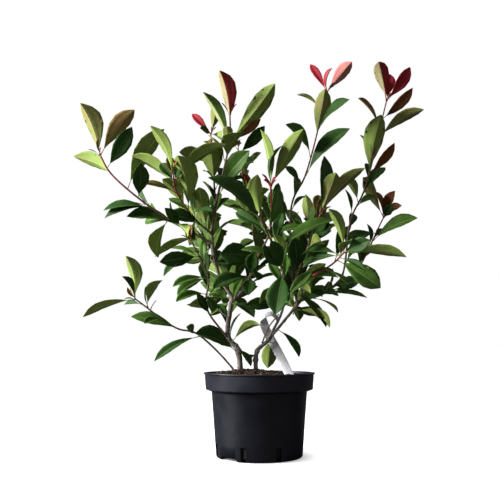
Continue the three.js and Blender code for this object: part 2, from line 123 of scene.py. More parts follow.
# %% [markdown]
# ## The woody frame
# Two main stems and one thin side stem leave the compost, and everything else grows from them. A
# limb is written as a gardener might describe it: where it leaves its parent, how thick it is, and
# a few nearly straight runs, each with a length and a heading. Headings are read on a clock face,
# with 0 straight up and 90 to the right, and a lean tilts them towards the show side. A smooth
# curve through the joints of the runs gives the axis. A centripetal spline is used because it
# never loops or overshoots at the knuckles where the shrub was once cut back.

# %% Limbs, in millimetres and degrees
# name: parent or foot, share of the parent, radius at foot and tip, bark, (length, clock, lean) runs
LIMBS = {
    "left_main_stem": ((-32, -8, 120), 0, 5.2, 3.8, "old", [(60, -5, 0), (25, -40, 0), (70, 5, 0)]),
    "left_leader": ("left_main_stem", 1, 3.3, 1.4, "ripening",
        [(45, -30, 0), (75, -10, 0), (175, 10, 0), (45, 0, 0)]),
    "left_inner_limb": ("left_main_stem", 0.95, 2.7, 2.2, "old", [(30, 45, 15), (65, 25, 15)]),
    "right_main_stem": ((-4, 0, 120), 0, 4.4, 3.2, "old", [(55, 0, 0), (25, 45, -5)]),
    "right_limb": ("right_main_stem", 1, 2.7, 2.2, "old", [(60, 40, -5), (40, 40, -5)]),
    "right_outer_limb": ("right_limb", 0.95, 2.1, 1.9, "ripening", [(30, 75, -10), (35, 60, -10)]),
    "right_inner_limb": ("right_limb", 0.85, 2.1, 1.9, "ripening", [(35, -15, 20)]),
    "front_bough": ("right_main_stem", 1, 2.6, 1.4, "ripening",
        [(75, 25, 35), (65, 0, 35), (110, -25, 35)]),
    "low_side_stem": ((-34, -28, 125), 0, 1.9, 1.3, "pale",
        [(15, -20, 0), (95, -45, 5), (35, -75, 5), (85, -55, 5)]),
    "low_left_bough": ("left_main_stem", 0.5, 1.9, 1.2, "inner",
        [(75, -35, 15), (50, 5, 15), (70, -25, 20)]),
    "far_left_bough": ("left_leader", 0.3, 2.3, 1.4, "young",
        [(120, -60, 5), (100, -50, 5), (35, -30, 5)]),
    "upper_left_bough": ("left_leader", 0.35, 2.0, 1.3, "young",
        [(40, -50, 20), (60, -35, 25), (30, -10, 25)]),
    "rear_peak_bough": ("left_leader", 0.5, 1.9, 1.2, "young", [(160, -5, -20)]),
    "centre_bough": ("left_inner_limb", 1, 2.0, 1.2, "young", [(15, -10, -20), (215, -10, -20)]),
    "front_centre_bough": ("left_inner_limb", 1, 2.0, 1.3, "young", [(55, 25, 35), (80, 0, 40)]),
    "right_peak_bough": ("right_inner_limb", 1, 2.0, 1.2, "young",
        [(150, 0, -5), (60, 25, -5), (170, 15, -5)]),
    "right_inner_bough": ("right_inner_limb", 1, 1.9, 1.3, "young", [(145, 20, 35)]),
    "right_front_bough": ("right_inner_limb", 1, 1.9, 1.3, "red", [(125, 65, 60), (40, 45, 60)]),
    "far_right_peak_bough": ("right_outer_limb", 1, 1.9, 1.2, "young",
        [(25, 40, 0), (105, 10, 0), (60, 25, 0), (175, 15, 0)]),
    "far_right_bough": ("right_outer_limb", 1, 1.8, 1.2, "young", [(45, 60, -15), (135, 30, -15)]),
    "rear_left_bough": ("left_leader", 0.2, 2.0, 1.2, "young", [(80, -40, -70), (105, -15, -50)]),
    "rear_centre_bough": ("left_inner_limb", 0.9, 2.0, 1.2, "young", [(105, 0, -55), (135, -10, -50)]),
    "rear_right_bough": ("right_limb", 0.95, 2.0, 1.2, "young", [(90, 10, -45), (130, 10, -40)]),
    "rear_low_bough": ("left_main_stem", 0.8, 2.0, 1.2, "young", [(75, 0, -65), (105, -15, -60)]),
    "rear_low_right_bough": ("right_limb", 0.55, 1.9, 1.2, "young", [(80, 35, -65), (105, 15, -55)]),
}


def heading(clock, lean):
    """Unit direction from a heading on the clock face and a lean towards the show side."""
    turn, tilt = math.radians(clock), math.radians(lean)
    return Vector((math.sin(turn) * math.cos(tilt), -math.sin(tilt), math.cos(turn) * math.cos(tilt)))


class Axis:
    """Smooth centripetal curve through a few places, with even steps along its length."""

    def __init__(self, places, steps=24):
        places = [2 * places[0] - places[1]] + places + [2 * places[-1] - places[-2]]
        self.points = []
        for p0, p1, p2, p3 in zip(places, places[1:], places[2:], places[3:]):
            d0, d1, d2 = ((b - a).length ** 0.5 for a, b in ((p0, p1), (p1, p2), (p2, p3)))
            m1 = ((p1 - p0) / d0 - (p2 - p0) / (d0 + d1) + (p2 - p1) / d1) * d1
            m2 = ((p2 - p1) / d1 - (p3 - p1) / (d1 + d2) + (p3 - p2) / d2) * d1
            for i in range(steps):
                t = i / steps
                self.points.append((2 * t**3 - 3 * t**2 + 1) * p1 + (t**3 - 2 * t**2 + t) * m1
                                   + (3 * t**2 - 2 * t**3) * p2 + (t**3 - t**2) * m2)
        self.points.append(places[-2])
        self.marks = [0.0]
        for a, b in zip(self.points, self.points[1:]):
            self.marks.append(self.marks[-1] + (b - a).length)
        self.length = self.marks[-1]

    def at(self, share):
        want = min(max(share, 0), 1) * self.length
        i = min(max(bisect.bisect_left(self.marks, want), 1), len(self.marks) - 1)
        t = (want - self.marks[i - 1]) / (self.marks[i] - self.marks[i - 1])
        return self.points[i - 1].lerp(self.points[i], t)

    def along(self, share):
        return (self.at(min(share + 0.01, 1)) - self.at(max(share - 0.01, 0))).normalized()


axes = {}
for name, (parent, share, _, _, _, runs) in LIMBS.items():
    places = [axes[parent].at(share) if parent in axes else Vector(parent) * MM]
    for length, clock, lean in runs:
        places.append(places[-1] + heading(clock, lean) * length * MM)
    axes[name] = Axis(places)
print("limbs:", len(axes), "total length", round(sum(a.length for a in axes.values()), 2), "m")

# %% [markdown]
# ## Finishes that several materials share
# Real leaves, bark and plastic are never one flat colour. Three effects are used again and again, so
# each is a node group that is built once: a soft mottle that shifts a colour, a fine grain that
# gives height for a Bump node, and pale dust that settles on what faces up. The groups only put out
# colours, masks and heights. The shader itself stays in each material. Nodes could be added and
# linked one call at a time, but a helper that takes the inputs by name says the same in one line.

# %% Helpers for nodes
COLOUR, NUMBER, VECTOR = "NodeSocketColor", "NodeSocketFloat", "NodeSocketVector"


def feed(tree, sockets, values):
    """Links each named socket to another one, or types a plain value into it."""
    for name, value in values.items():
        if hasattr(value, "links"):
            tree.links.new(value, sockets[name])
        else:
            sockets[name].default_value = value


def node(tree, kind, inputs, **settings):
    """Adds a node with its settings and inputs, and hands back its outputs."""
    made = tree.nodes.new(kind)
    for name, value in settings.items():
        setattr(made, name, value)
    feed(tree, made.inputs, inputs)
    return made.outputs


def own_place(tree):
    """The object's own coordinates, so that a pattern stays with it."""
    return node(tree, "ShaderNodeTexCoord", {})["Object"]


def product(tree, a, b):
    """One number times another."""
    return node(tree, "ShaderNodeMath", {0: a, 1: b}, operation="MULTIPLY")["Value"]


def colour_mix(tree, factor, a, b):
    """Colour a at factor 0, and b at factor 1."""
    return node(tree, "ShaderNodeMix", {"Factor": factor, "A": a, "B": b}, data_type="RGBA")["Result"]


def node_group(name, inputs, outputs):
    """An empty group, the sockets that feed it and the sockets that it has to fill."""
    group = bpy.data.node_groups.new(name, "ShaderNodeTree")
    for way, sockets in (("INPUT", inputs), ("OUTPUT", outputs)):
        for label, kind in sockets.items():
            group.interface.new_socket(label, in_out=way, socket_type=kind)
    return group, group.nodes.new("NodeGroupInput").outputs, group.nodes.new("NodeGroupOutput").inputs


print("node helpers ready")

# %% [markdown]
# Leaves and bark show patches some millimetres wide, a much finer grain, and dust only where it can
# settle. Painted pictures could show that too, but noise has no seams and stays sharp close up.

# %% Shared node groups
DUST_COLOUR = (0.4, 0.36, 0.3, 1)


def make_mottle():
    """Shifts a colour towards a second one in soft patches."""
    group, given, out = node_group(
        "mottle", {"Base": COLOUR, "Patch": COLOUR, "Scale": NUMBER, "Amount": NUMBER},
        {"Color": COLOUR, "Mask": NUMBER})
    patches = node(group, "ShaderNodeTexNoise", {
        "Vector": own_place(group), "Scale": given["Scale"], "Detail": 5.0})["Fac"]
    mask = node(group, "ShaderNodeMapRange", {
        "Value": patches, "From Min": 0.38, "From Max": 0.66})["Result"]
    level = product(group, mask, given["Amount"])
    feed(group, out, {"Color": colour_mix(group, level, given["Base"], given["Patch"]), "Mask": mask})
    return group


def make_grain():
    """Fine height for a Bump node, coarse and fine grain together."""
    group, given, out = node_group("grain", {"Scale": NUMBER, "Stretch": VECTOR}, {"Height": NUMBER})
    place = node(group, "ShaderNodeVectorMath", {0: own_place(group), 1: given["Stretch"]},
                 operation="MULTIPLY")["Vector"]
    height = node(group, "ShaderNodeTexNoise", {
        "Vector": place, "Scale": given["Scale"], "Detail": 6.0, "Roughness": 0.6})["Fac"]
    feed(group, out, {"Height": height})
    return group


def make_dust():
    """Pale dust where a surface faces up, broken up by noise."""
    group, given, out = node_group("dust", {"Base": COLOUR, "Amount": NUMBER}, {"Color": COLOUR})
    normal = node(group, "ShaderNodeNewGeometry", {})["Normal"]
    height = node(group, "ShaderNodeSeparateXYZ", {"Vector": normal})["Z"]
    upward = node(group, "ShaderNodeMapRange", {
        "Value": height, "From Min": 0.1, "From Max": 0.95})["Result"]
    patches = node(group, "ShaderNodeTexNoise", {
        "Vector": own_place(group), "Scale": 45.0, "Detail": 6.0})["Fac"]
    level = product(group, product(group, upward, patches), given["Amount"])
    feed(group, out, {"Color": colour_mix(group, level, given["Base"], DUST_COLOUR)})
    return group


MOTTLE, GRAIN, DUST = make_mottle(), make_grain(), make_dust()
print("node groups:", [g.name for g in bpy.data.node_groups])

# %% [markdown]
# A single function sets up each material from those groups. Numbers that are the same all over a
# surface, such as the specular level, are typed straight into the shader's own sockets. Bark is dull
# and rough when old, and smooth and red on the youngest shoots, so five finishes cover every limb.

# %% One way to make every finish
RELIEF_DEPTH = 0.0008


def finish(name, base, patch, amount, scale, rough, grain, bump, stretch=(1, 1, 1), dust=0.0, specular=0.5):
    """Principled material with a mottled colour, uneven gloss and fine relief."""
    material = bpy.data.materials.new(name)
    material.use_nodes = True
    tree = material.node_tree
    mottle = node(tree, "ShaderNodeGroup", {
        "Base": linear(base), "Patch": linear(patch), "Scale": scale, "Amount": amount}, node_tree=MOTTLE)
    colour = mottle["Color"]
    if dust:
        colour = node(tree, "ShaderNodeGroup", {"Base": colour, "Amount": dust}, node_tree=DUST)["Color"]
    gloss = node(tree, "ShaderNodeMapRange", {
        "Value": mottle["Mask"], "To Min": rough[0], "To Max": rough[1]})["Result"]
    height = node(tree, "ShaderNodeGroup", {"Scale": grain, "Stretch": stretch}, node_tree=GRAIN)["Height"]
    relief = node(tree, "ShaderNodeBump", {
        "Height": height, "Strength": bump, "Distance": RELIEF_DEPTH})["Normal"]
    feed(tree, tree.nodes["Principled BSDF"].inputs, {
        "Base Color": colour, "Roughness": gloss, "Normal": relief, "Specular IOR Level": specular})
    return material


BARK = [
    finish("bark_old", "#6c6058", "#aaa299", 0.75, 90, (0.8, 0.95), 420, 0.9, (1, 1, 0.35)),
    finish("bark_ripening", "#5a4034", "#8b6e5c", 0.6, 110, (0.65, 0.85), 500, 0.6, (1, 1, 0.4)),
    finish("shoot_brown", "#5a3028", "#7c4a3a", 0.5, 130, (0.45, 0.6), 600, 0.3, (1, 1, 0.4)),
    finish("shoot_red", "#7a1f28", "#94343a", 0.5, 130, (0.35, 0.5), 600, 0.2, (1, 1, 0.4)),
    finish("scar_pale", "#8d8172", "#6e5d4e", 0.6, 200, (0.8, 0.95), 500, 0.5),
]
OLD, RIPENING, BROWN, RED, PALE = range(len(BARK))
# finishes of the lower, middle and upper third of a limb
BARK_AGE = {
    "old": (OLD, OLD, OLD), "ripening": (OLD, RIPENING, BROWN), "young": (RIPENING, BROWN, RED),
    "red": (BROWN, RED, RED), "pale": (PALE, RIPENING, BROWN), "inner": (RIPENING, RIPENING, BROWN),
}
print("bark finishes:", [m.name for m in BARK])

# %% [markdown]
# ## Bark
# A stem isn't a plain pipe. It swells in a collar where it leaves the ground or its parent, bulges
# at the knuckles where it was once cut back, and is ringed by the scars of old leaves. Those shapes
# are big enough to model, so the radius of each ring follows a taper, a collar, the knuckles, the
# leaf scars and some noise. Finer cracks come from the bump in the material. Bark also changes
# colour with age, so each limb passes from one finish to the next along its length.

# %% Stems and boughs with relief
BARK_OF = {name: bark for name, (_, _, _, _, bark, _) in LIMBS.items()}
TAPER_POWER = 0.8
COLLAR_SWELL, COLLAR_REACH = 0.3, 5  # share of the radius, mm
SCAR_SPACING, SCAR_SWELL, SCAR_WIDTH = 19 * MM, 0.1, 0.07
BARK_LUMPS, BARK_LUMP_HEIGHT, BARK_DEPTH = 420, 0.16, 2 * MM  # noise scale, share of the radius, reach
STEM_TIP = 1 * MM
NO_LIMB_RUNS_SO = Vector((0, 1, 0.13))
# share of the length, extra radius and spread, in mm
KNUCKLES = {
    "left_main_stem": [(0.36, 1.6, 5), (0.52, 1.0, 5), (0.97, 1.1, 6)],
    "right_main_stem": [(0.52, 1.5, 4), (0.7, 1.5, 4)],
    "right_limb": [(0.82, 0.8, 4)],
}


def limb_radius(name, share):
    """Radius of a limb at a share of its length, with collar, knuckles and scars."""
    _, _, foot, tip, _, _ = LIMBS[name]
    length = axes[name].length
    radius = foot + (tip - foot) * share**TAPER_POWER
    radius += COLLAR_SWELL * foot * math.exp(-share * length / MM / COLLAR_REACH)
    for place, extra, spread in KNUCKLES.get(name, []):
        radius += extra * math.exp(-((share - place) * length / MM / spread) ** 2)
    scar = (share * length / SCAR_SPACING) % 1
    radius *= 1 + SCAR_SWELL * math.exp(-((scar - 0.5) / SCAR_WIDTH) ** 2)
    return radius * MM


def cross_frame(along):
    """Two directions square to a limb."""
    across = NO_LIMB_RUNS_SO.cross(along).normalized()
    return across, along.cross(across).normalized()


def circle(centre, across, away, radius, sides):
    """Even ring of places round a centre."""
    return [centre + (across * math.cos(a) + away * math.sin(a)) * radius for a in round_angles(sides)]


def grow_limb(builder, name, sides, step):
    """Rings of roughened bark along a limb, tinted by age from its foot to its tip."""
    axis = axes[name]
    count = max(6, round(axis.length / step))
    rings = []
    for i in range(count + 1):
        share = i / count
        centre, along = axis.at(share), axis.along(share)
        across, away = cross_frame(along)
        ring = []
        for outward in circle(Vector(), across, away, 1, sides):
            rough = noise.noise((centre + outward * BARK_DEPTH) * BARK_LUMPS) * BARK_LUMP_HEIGHT
            ring.append(centre + outward * limb_radius(name, share) * (1 + rough))
        rings.append(ring)
    corners, faces = skin(rings, axis.at(0), axis.at(1) + axis.along(1) * STEM_TIP)
    ages = BARK_AGE[BARK_OF[name]]
    tints = [ages[min(2, int(3 * (f // sides) / count))] for f in range(len(faces))]
    builder.add(corners, faces, tints)


stems, shoots = Builder(), Builder()
for name, bark in BARK_OF.items():
    if bark == "old":
        grow_limb(stems, name, sides=16, step=1.6 * MM)
    else:
        grow_limb(shoots, name, sides=10, step=2.4 * MM)
print("limb rings ready")

# %% [markdown]
# Short bare twigs and one dead stub cross the open space under the leaves. Each is a foot in
# millimetres, a length, and a heading, and bends a little on its way, as twigs do at a bud. They
# share the bark of the shoots, so they are joined into the same piece.

# %% Bare twigs and a dead stub
# foot, length, clock, lean, radius, bark finish
TWIGS = [
    ((-45, -15, 260), 65, 35, 20, 1.3, RIPENING),
    ((5, 0, 190), 60, 30, 15, 1.6, OLD),
    ((-55, -10, 235), 20, -45, 0, 1.6, PALE),
    ((-85, -30, 270), 25, 30, 5, 0.9, BROWN),
    ((60, 10, 240), 25, 30, 25, 1.0, BROWN),
    ((-185, -45, 240), 25, 25, -10, 0.9, RED),
]
TWIG_BEND, TWIG_TAPER, TWIG_STEPS, TWIG_SIDES = 8, 0.35, 12, 8
for foot, length, clock, lean, radius, tint in TWIGS:
    start = Vector(foot) * MM
    middle = start + heading(clock - TWIG_BEND, lean) * length / 2 * MM
    axis = Axis([start, middle, middle + heading(clock + TWIG_BEND, lean) * length / 2 * MM], 8)
    rings = []
    for i in range(TWIG_STEPS + 1):
        share = i / TWIG_STEPS
        across, away = cross_frame(axis.along(share))
        size = radius * MM * (1 - TWIG_TAPER * share)
        rings.append(circle(axis.at(share), across, away, size, TWIG_SIDES))
    shoots.add(*skin(rings, axis.at(0), axis.at(1)), tint)

bark_stems = stems.piece("bark_stems", BARK)
bark_shoots = shoots.piece("bark_shoots", BARK)
old_limbs = [name for name, bark in BARK_OF.items() if bark == "old"]
young_limbs = [name for name, bark in BARK_OF.items() if bark != "old"]
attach(bark_stems, "root")
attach(bark_shoots, "root")
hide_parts(*old_limbs)
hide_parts(*young_limbs)

# %% [markdown]
# ## Leaf colours
# A photinia leaf opens red, turns bronze and ends deep glossy green, and its underside is always paler and
# duller than its top. Each leaf here therefore has four finishes: top, underside, and the midrib on either
# side. In two sets, the red and the shaded, the finish of the midrib below also covers one half of the
# underside, painted pale as a painted lit half. The shaded set is the dark set with its underside painted
# darker as shade, and the dark set itself is dealt both to mature leaves and, as painted shade, to the
# leaves inside and at the back of the crown. Otherwise the set a leaf gets depends on its age, so the tints
# are plain base colours dealt out leaf by leaf, and only a soft mottle is laid over them.

# %% Leaf finishes by age
TOP, UNDER, RIB, RIB_UNDER_AND_LIT_HALF = range(4)
GLOSSY, SOFT = (0.4, 0.52), (0.5, 0.62)
# age or shade set: top and its patches, underside and its patches, midrib, midrib below (in the red and
# shaded sets also the painted lit half of the underside), gloss of the top
LEAF_COLOURS = {
    # dark: mature leaves, and also painted shade for leaves inside and at the back of the crown, its
    # underside darkened for that
    "dark": ("#2c4a1e", "#3b6028", "#4a6428", "#5f7c34", "#557032", "#8a9a5c", SOFT),
    # a shaded copy of the dark set: underside painted darker as shade, midrib below painted pale for the
    # painted lit half
    "shaded": ("#2c4a1e", "#3b6028", "#425c26", "#557032", "#557032", "#a9b07c", SOFT),
    "green": ("#436426", "#567a34", "#7f9846", "#9ca45e", "#75904a", "#b4bd80", GLOSSY),
    "olive": ("#5c6226", "#7a5630", "#808c48", "#a68c62", "#9a8a50", "#c0b688", SOFT),
    "bronze": ("#7c5028", "#84462a", "#8c7e48", "#a0684a", "#94523a", "#bda078", SOFT),
    # the red set's pale midrib-below colour also paints the lit half of the underside
    "red": ("#9c2832", "#ad3e46", "#9a2f36", "#8a3a30", "#b03a46", "#a9a376", GLOSSY),
    "pink": ("#c0505a", "#cc7068", "#cf7a7c", "#b99a70", "#cc6a6c", "#e0b0a8", SOFT),
}


def leaf_set(age, top, top_patch, under, under_patch, rib, rib_under, gloss):
    """Finishes of a leaf's top, underside, midrib, and midrib below, which in some sets also paints the lit
    half of the underside.
    """
    looks = [("top", top, top_patch, 0.5, 70, gloss, 240, 0.03, 0.12),
             ("under", under, under_patch, 0.5, 60, (0.6, 0.75), 260, 0.03, 0.12),
             ("rib", rib, top_patch, 0.3, 150, (0.5, 0.6), 300, 0.05, 0.3),
             ("rib_under", rib_under, under_patch, 0.3, 150, (0.6, 0.7), 300, 0.05, 0.2)]
    return [finish(f"leaf_{age}_{part}", *look, specular=specular) for part, *look, specular in looks]


LEAF_AGES = {age: leaf_set(age, *colours) for age, colours in LEAF_COLOURS.items()}
LEAF_FINISHES = [m for ages in LEAF_AGES.values() for m in ages]
print("leaf finishes:", len(LEAF_FINISHES))

# %% [markdown]
# ## One leaf
# The blade is long, widest a little past the middle, with a short point and finely toothed edges.
# The mesh is a grid of 14 rows and 8 columns, doubled for the underside, so both sides are real
# faces. Every leaf of one age has the same faces and differs only in where its corners lie, so the
# faces are worked out once for each age.

# %% Blade outline and faces
# share of the blade's length, share of its half width
OUTLINE = [(0, 0.04), (0.06, 0.15), (0.14, 0.33), (0.24, 0.56), (0.35, 0.79), (0.46, 0.95), (0.57, 1.02),
           (0.67, 1.0), (0.76, 0.89), (0.84, 0.7), (0.9, 0.48), (0.945, 0.28), (0.98, 0.12), (1, 0.01)]
COLUMNS = (-1, -0.7, -0.36, -0.05, 0.05, 0.36, 0.7, 1)
MIDRIB_STRIP = 3
PAINTED_LIT_HALF = ("red", "shaded")  # sets whose underside has one half painted pale: a painted lit half


def blade_faces(age):
    """Faces of a blade and the finish of each: both sides, the two rims and the two ends."""
    rows, columns = len(OUTLINE), len(COLUMNS)
    below = rows * columns
    first = list(LEAF_AGES).index(age) * len(LEAF_AGES[age])
    faces, finishes = [], []
    for r in range(rows - 1):
        for c in range(columns - 1):
            a = r * columns + c
            faces.append((a, a + 1, a + 1 + columns, a + columns))
            faces.append((below + a + columns, below + a + 1 + columns, below + a + 1, below + a))
            rib = c == MIDRIB_STRIP
            # pale: the midrib, and in the painted-lit-half sets one half of the underside, painted pale as
            # if lit
            pale = rib or (age in PAINTED_LIT_HALF and c > MIDRIB_STRIP)
            finishes += [first + (RIB if rib else TOP), first + (RIB_UNDER_AND_LIT_HALF if pale else UNDER)]
        for c, order in ((0, 1), (columns - 1, -1)):
            a = r * columns + c
            faces.append((a, a + columns, below + a + columns, below + a)[::order])
            finishes.append(first + UNDER)
    for a in (0, (rows - 1) * columns):
        faces.append((*range(a, a + columns), *range(below + a + columns - 1, below + a - 1, -1)))
        finishes.append(first + RIB_UNDER_AND_LIT_HALF)
    return faces, finishes


BLADES = {age: blade_faces(age) for age in LEAF_AGES}
print("blade rows:", len(OUTLINE), "columns:", len(COLUMNS))

# %% [markdown]
# A living blade is folded along its midrib like a shallow V, bows back towards its tip, twists a
# little, ripples at the edge and is quilted between the side veins. Those are plain sums on each
# corner, which is much quicker for hundreds of leaves than modifiers would be.

# %% Grow one leaf
BLADE_THICKNESS = 0.35 * MM
STALK_SHARE = 0.13  # of the reach
FOLDS, BOWS = (27, 5), (0.05, 0.1)  # where a spray doesn't say: mean and spread, range
TWISTS, RIPPLES, PHASES = (-0.25, 0.25), (0.02, 0.05), (0, 6.28)
TOOTH, WAVES, OTHER_HALF = 1.05, 9, 2  # reach of a tooth, waves along the edge, their delay
QUILT, QUILTED = 0.018, (0.3, 0.8)  # height between the side veins, and where across
RIB_WIDTH, RIB_DIP, RIB_DEPTH = 0.1, 0.02, 1.6
STALK_RADIUS, STALK_TAPER, STALK_INSET = 0.9375 * MM, 0.1125 * MM, 0.3 * MM
STALK_STEPS, STALK_SIDES = 4, 6
STALK_REACH, STALK_END = 1.25, 1.3  # it runs on under the blade
CUPPING = 0.25  # how much the fold flattens towards the edge
GREEN_STALKS = ("dark", "green")  # ages whose stalk has turned green
leaves = {age: Builder() for age in LEAF_AGES}
stalks = Builder()


def leaf_frame(direction, facing, roll):
    """Upper side of a leaf: faces `facing` at roll 0, and turns about the leaf as roll grows."""
    towards = (facing - facing.dot(direction) * direction).normalized()
    turned = direction.cross(towards)
    angle = math.radians(roll)
    return towards * math.cos(angle) + turned * math.sin(angle)


def grow_stalk(spine, upper, age):
    """A thin tapering stalk from the limb into the foot of the blade."""
    rings = []
    for i in range(STALK_STEPS + 1):
        t = STALK_SHARE * STALK_REACH * i / STALK_STEPS
        across, away = cross_frame((spine(t + 0.01) - spine(t)).normalized())
        size = STALK_RADIUS - STALK_TAPER * i
        rings.append(circle(spine(t) - upper * STALK_INSET, across, away, size, STALK_SIDES))
    stalks.add(*skin(rings, spine(-0.01), spine(STALK_SHARE * STALK_END)), int(age in GREEN_STALKS))


def grow_leaf(foot, direction, upper, reach, width, age, fold, bow):
    """One leaf from its foot on the limb: a thin stalk, then the folded, bowed blade."""
    fold = math.radians(rng.gauss(*FOLDS) if fold is None else fold)
    bow = rng.uniform(*BOWS) if bow is None else bow
    twist = rng.uniform(*TWISTS)
    ripple = rng.uniform(*RIPPLES)
    phase = rng.uniform(*PHASES)
    side = direction.cross(upper).normalized()

    def spine(t):
        return foot + direction * (reach * t) + upper * (4 * bow * reach * t * (1 - t))

    tops, lows = [], []
    for row, (share, wide) in enumerate(OUTLINE):
        t = STALK_SHARE + (1 - STALK_SHARE) * share
        centre = spine(t)
        tangent = (spine(t + 0.01) - spine(t - 0.01)).normalized()
        up = (upper - upper.dot(tangent) * tangent).normalized()
        up = (up * math.cos(twist * share) + side * math.sin(twist * share)).normalized()
        out = tangent.cross(up).normalized()
        half = wide * width / 2
        odd = row % 2
        for u in COLUMNS:
            edge = abs(u)
            on_rib = edge < RIB_WIDTH
            tooth = TOOTH if edge == 1 and odd else 1.0
            wave = ripple * edge**2 * math.sin(WAVES * share + phase + (OTHER_HALF if u > 0 else 0))
            quilt = QUILT * (1 if odd else -1) * (QUILTED[0] < edge < QUILTED[1])
            rise = edge * math.sin(fold) * (1 - CUPPING * edge) + wave + quilt - RIB_DIP * on_rib
            flat = u * math.cos(fold) * tooth
            spot = centre + out * (flat * half) + up * (rise * half)
            tops.append(spot)
            lows.append(spot - up * BLADE_THICKNESS * (RIB_DEPTH if on_rib else 1.0))
    leaves[age].add(tops + lows, *BLADES[age])
    grow_stalk(spine, upper, age)


print("a leaf has", len(BLADES["green"][0]), "faces")

# %% [markdown]
# ## Sprays of leaves
# The longest leaves give each spray its outline, so they are dealt out in fans: the share of the
# limb where they leave it, their headings on the clock face, reach, lean and width, their age, and
# how they are turned. A leaf lies with its upper side to the sky and bows down towards its tip. It
# may be turned a little over, so that its top shows, or under, so that its paler back shows. The
# upright ones hold their backs to the show side, with the folded midrib as a ridge.

# %% The leading leaves of each spray
# name: turn about the leaf from facing the show side, fold of each half, bow as a share of the reach,
# and true width over the width that shows
TURNED = {
    "face": (10, 22, 0.06, 1.1), "shade": (-35, 22, 0.06, 1.2), "over": (48, 26, 0.1, 1.35),
    "side": (70, 38, 0.12, 1.45), "under": (130, 30, 0.12, 1.3), "ridge": (180, 38, 0.12, 1.2),
    "ridge_left": (152, 40, 0.12, 1.3), "ridge_right": (-168, 44, 0.12, 1.35),
}
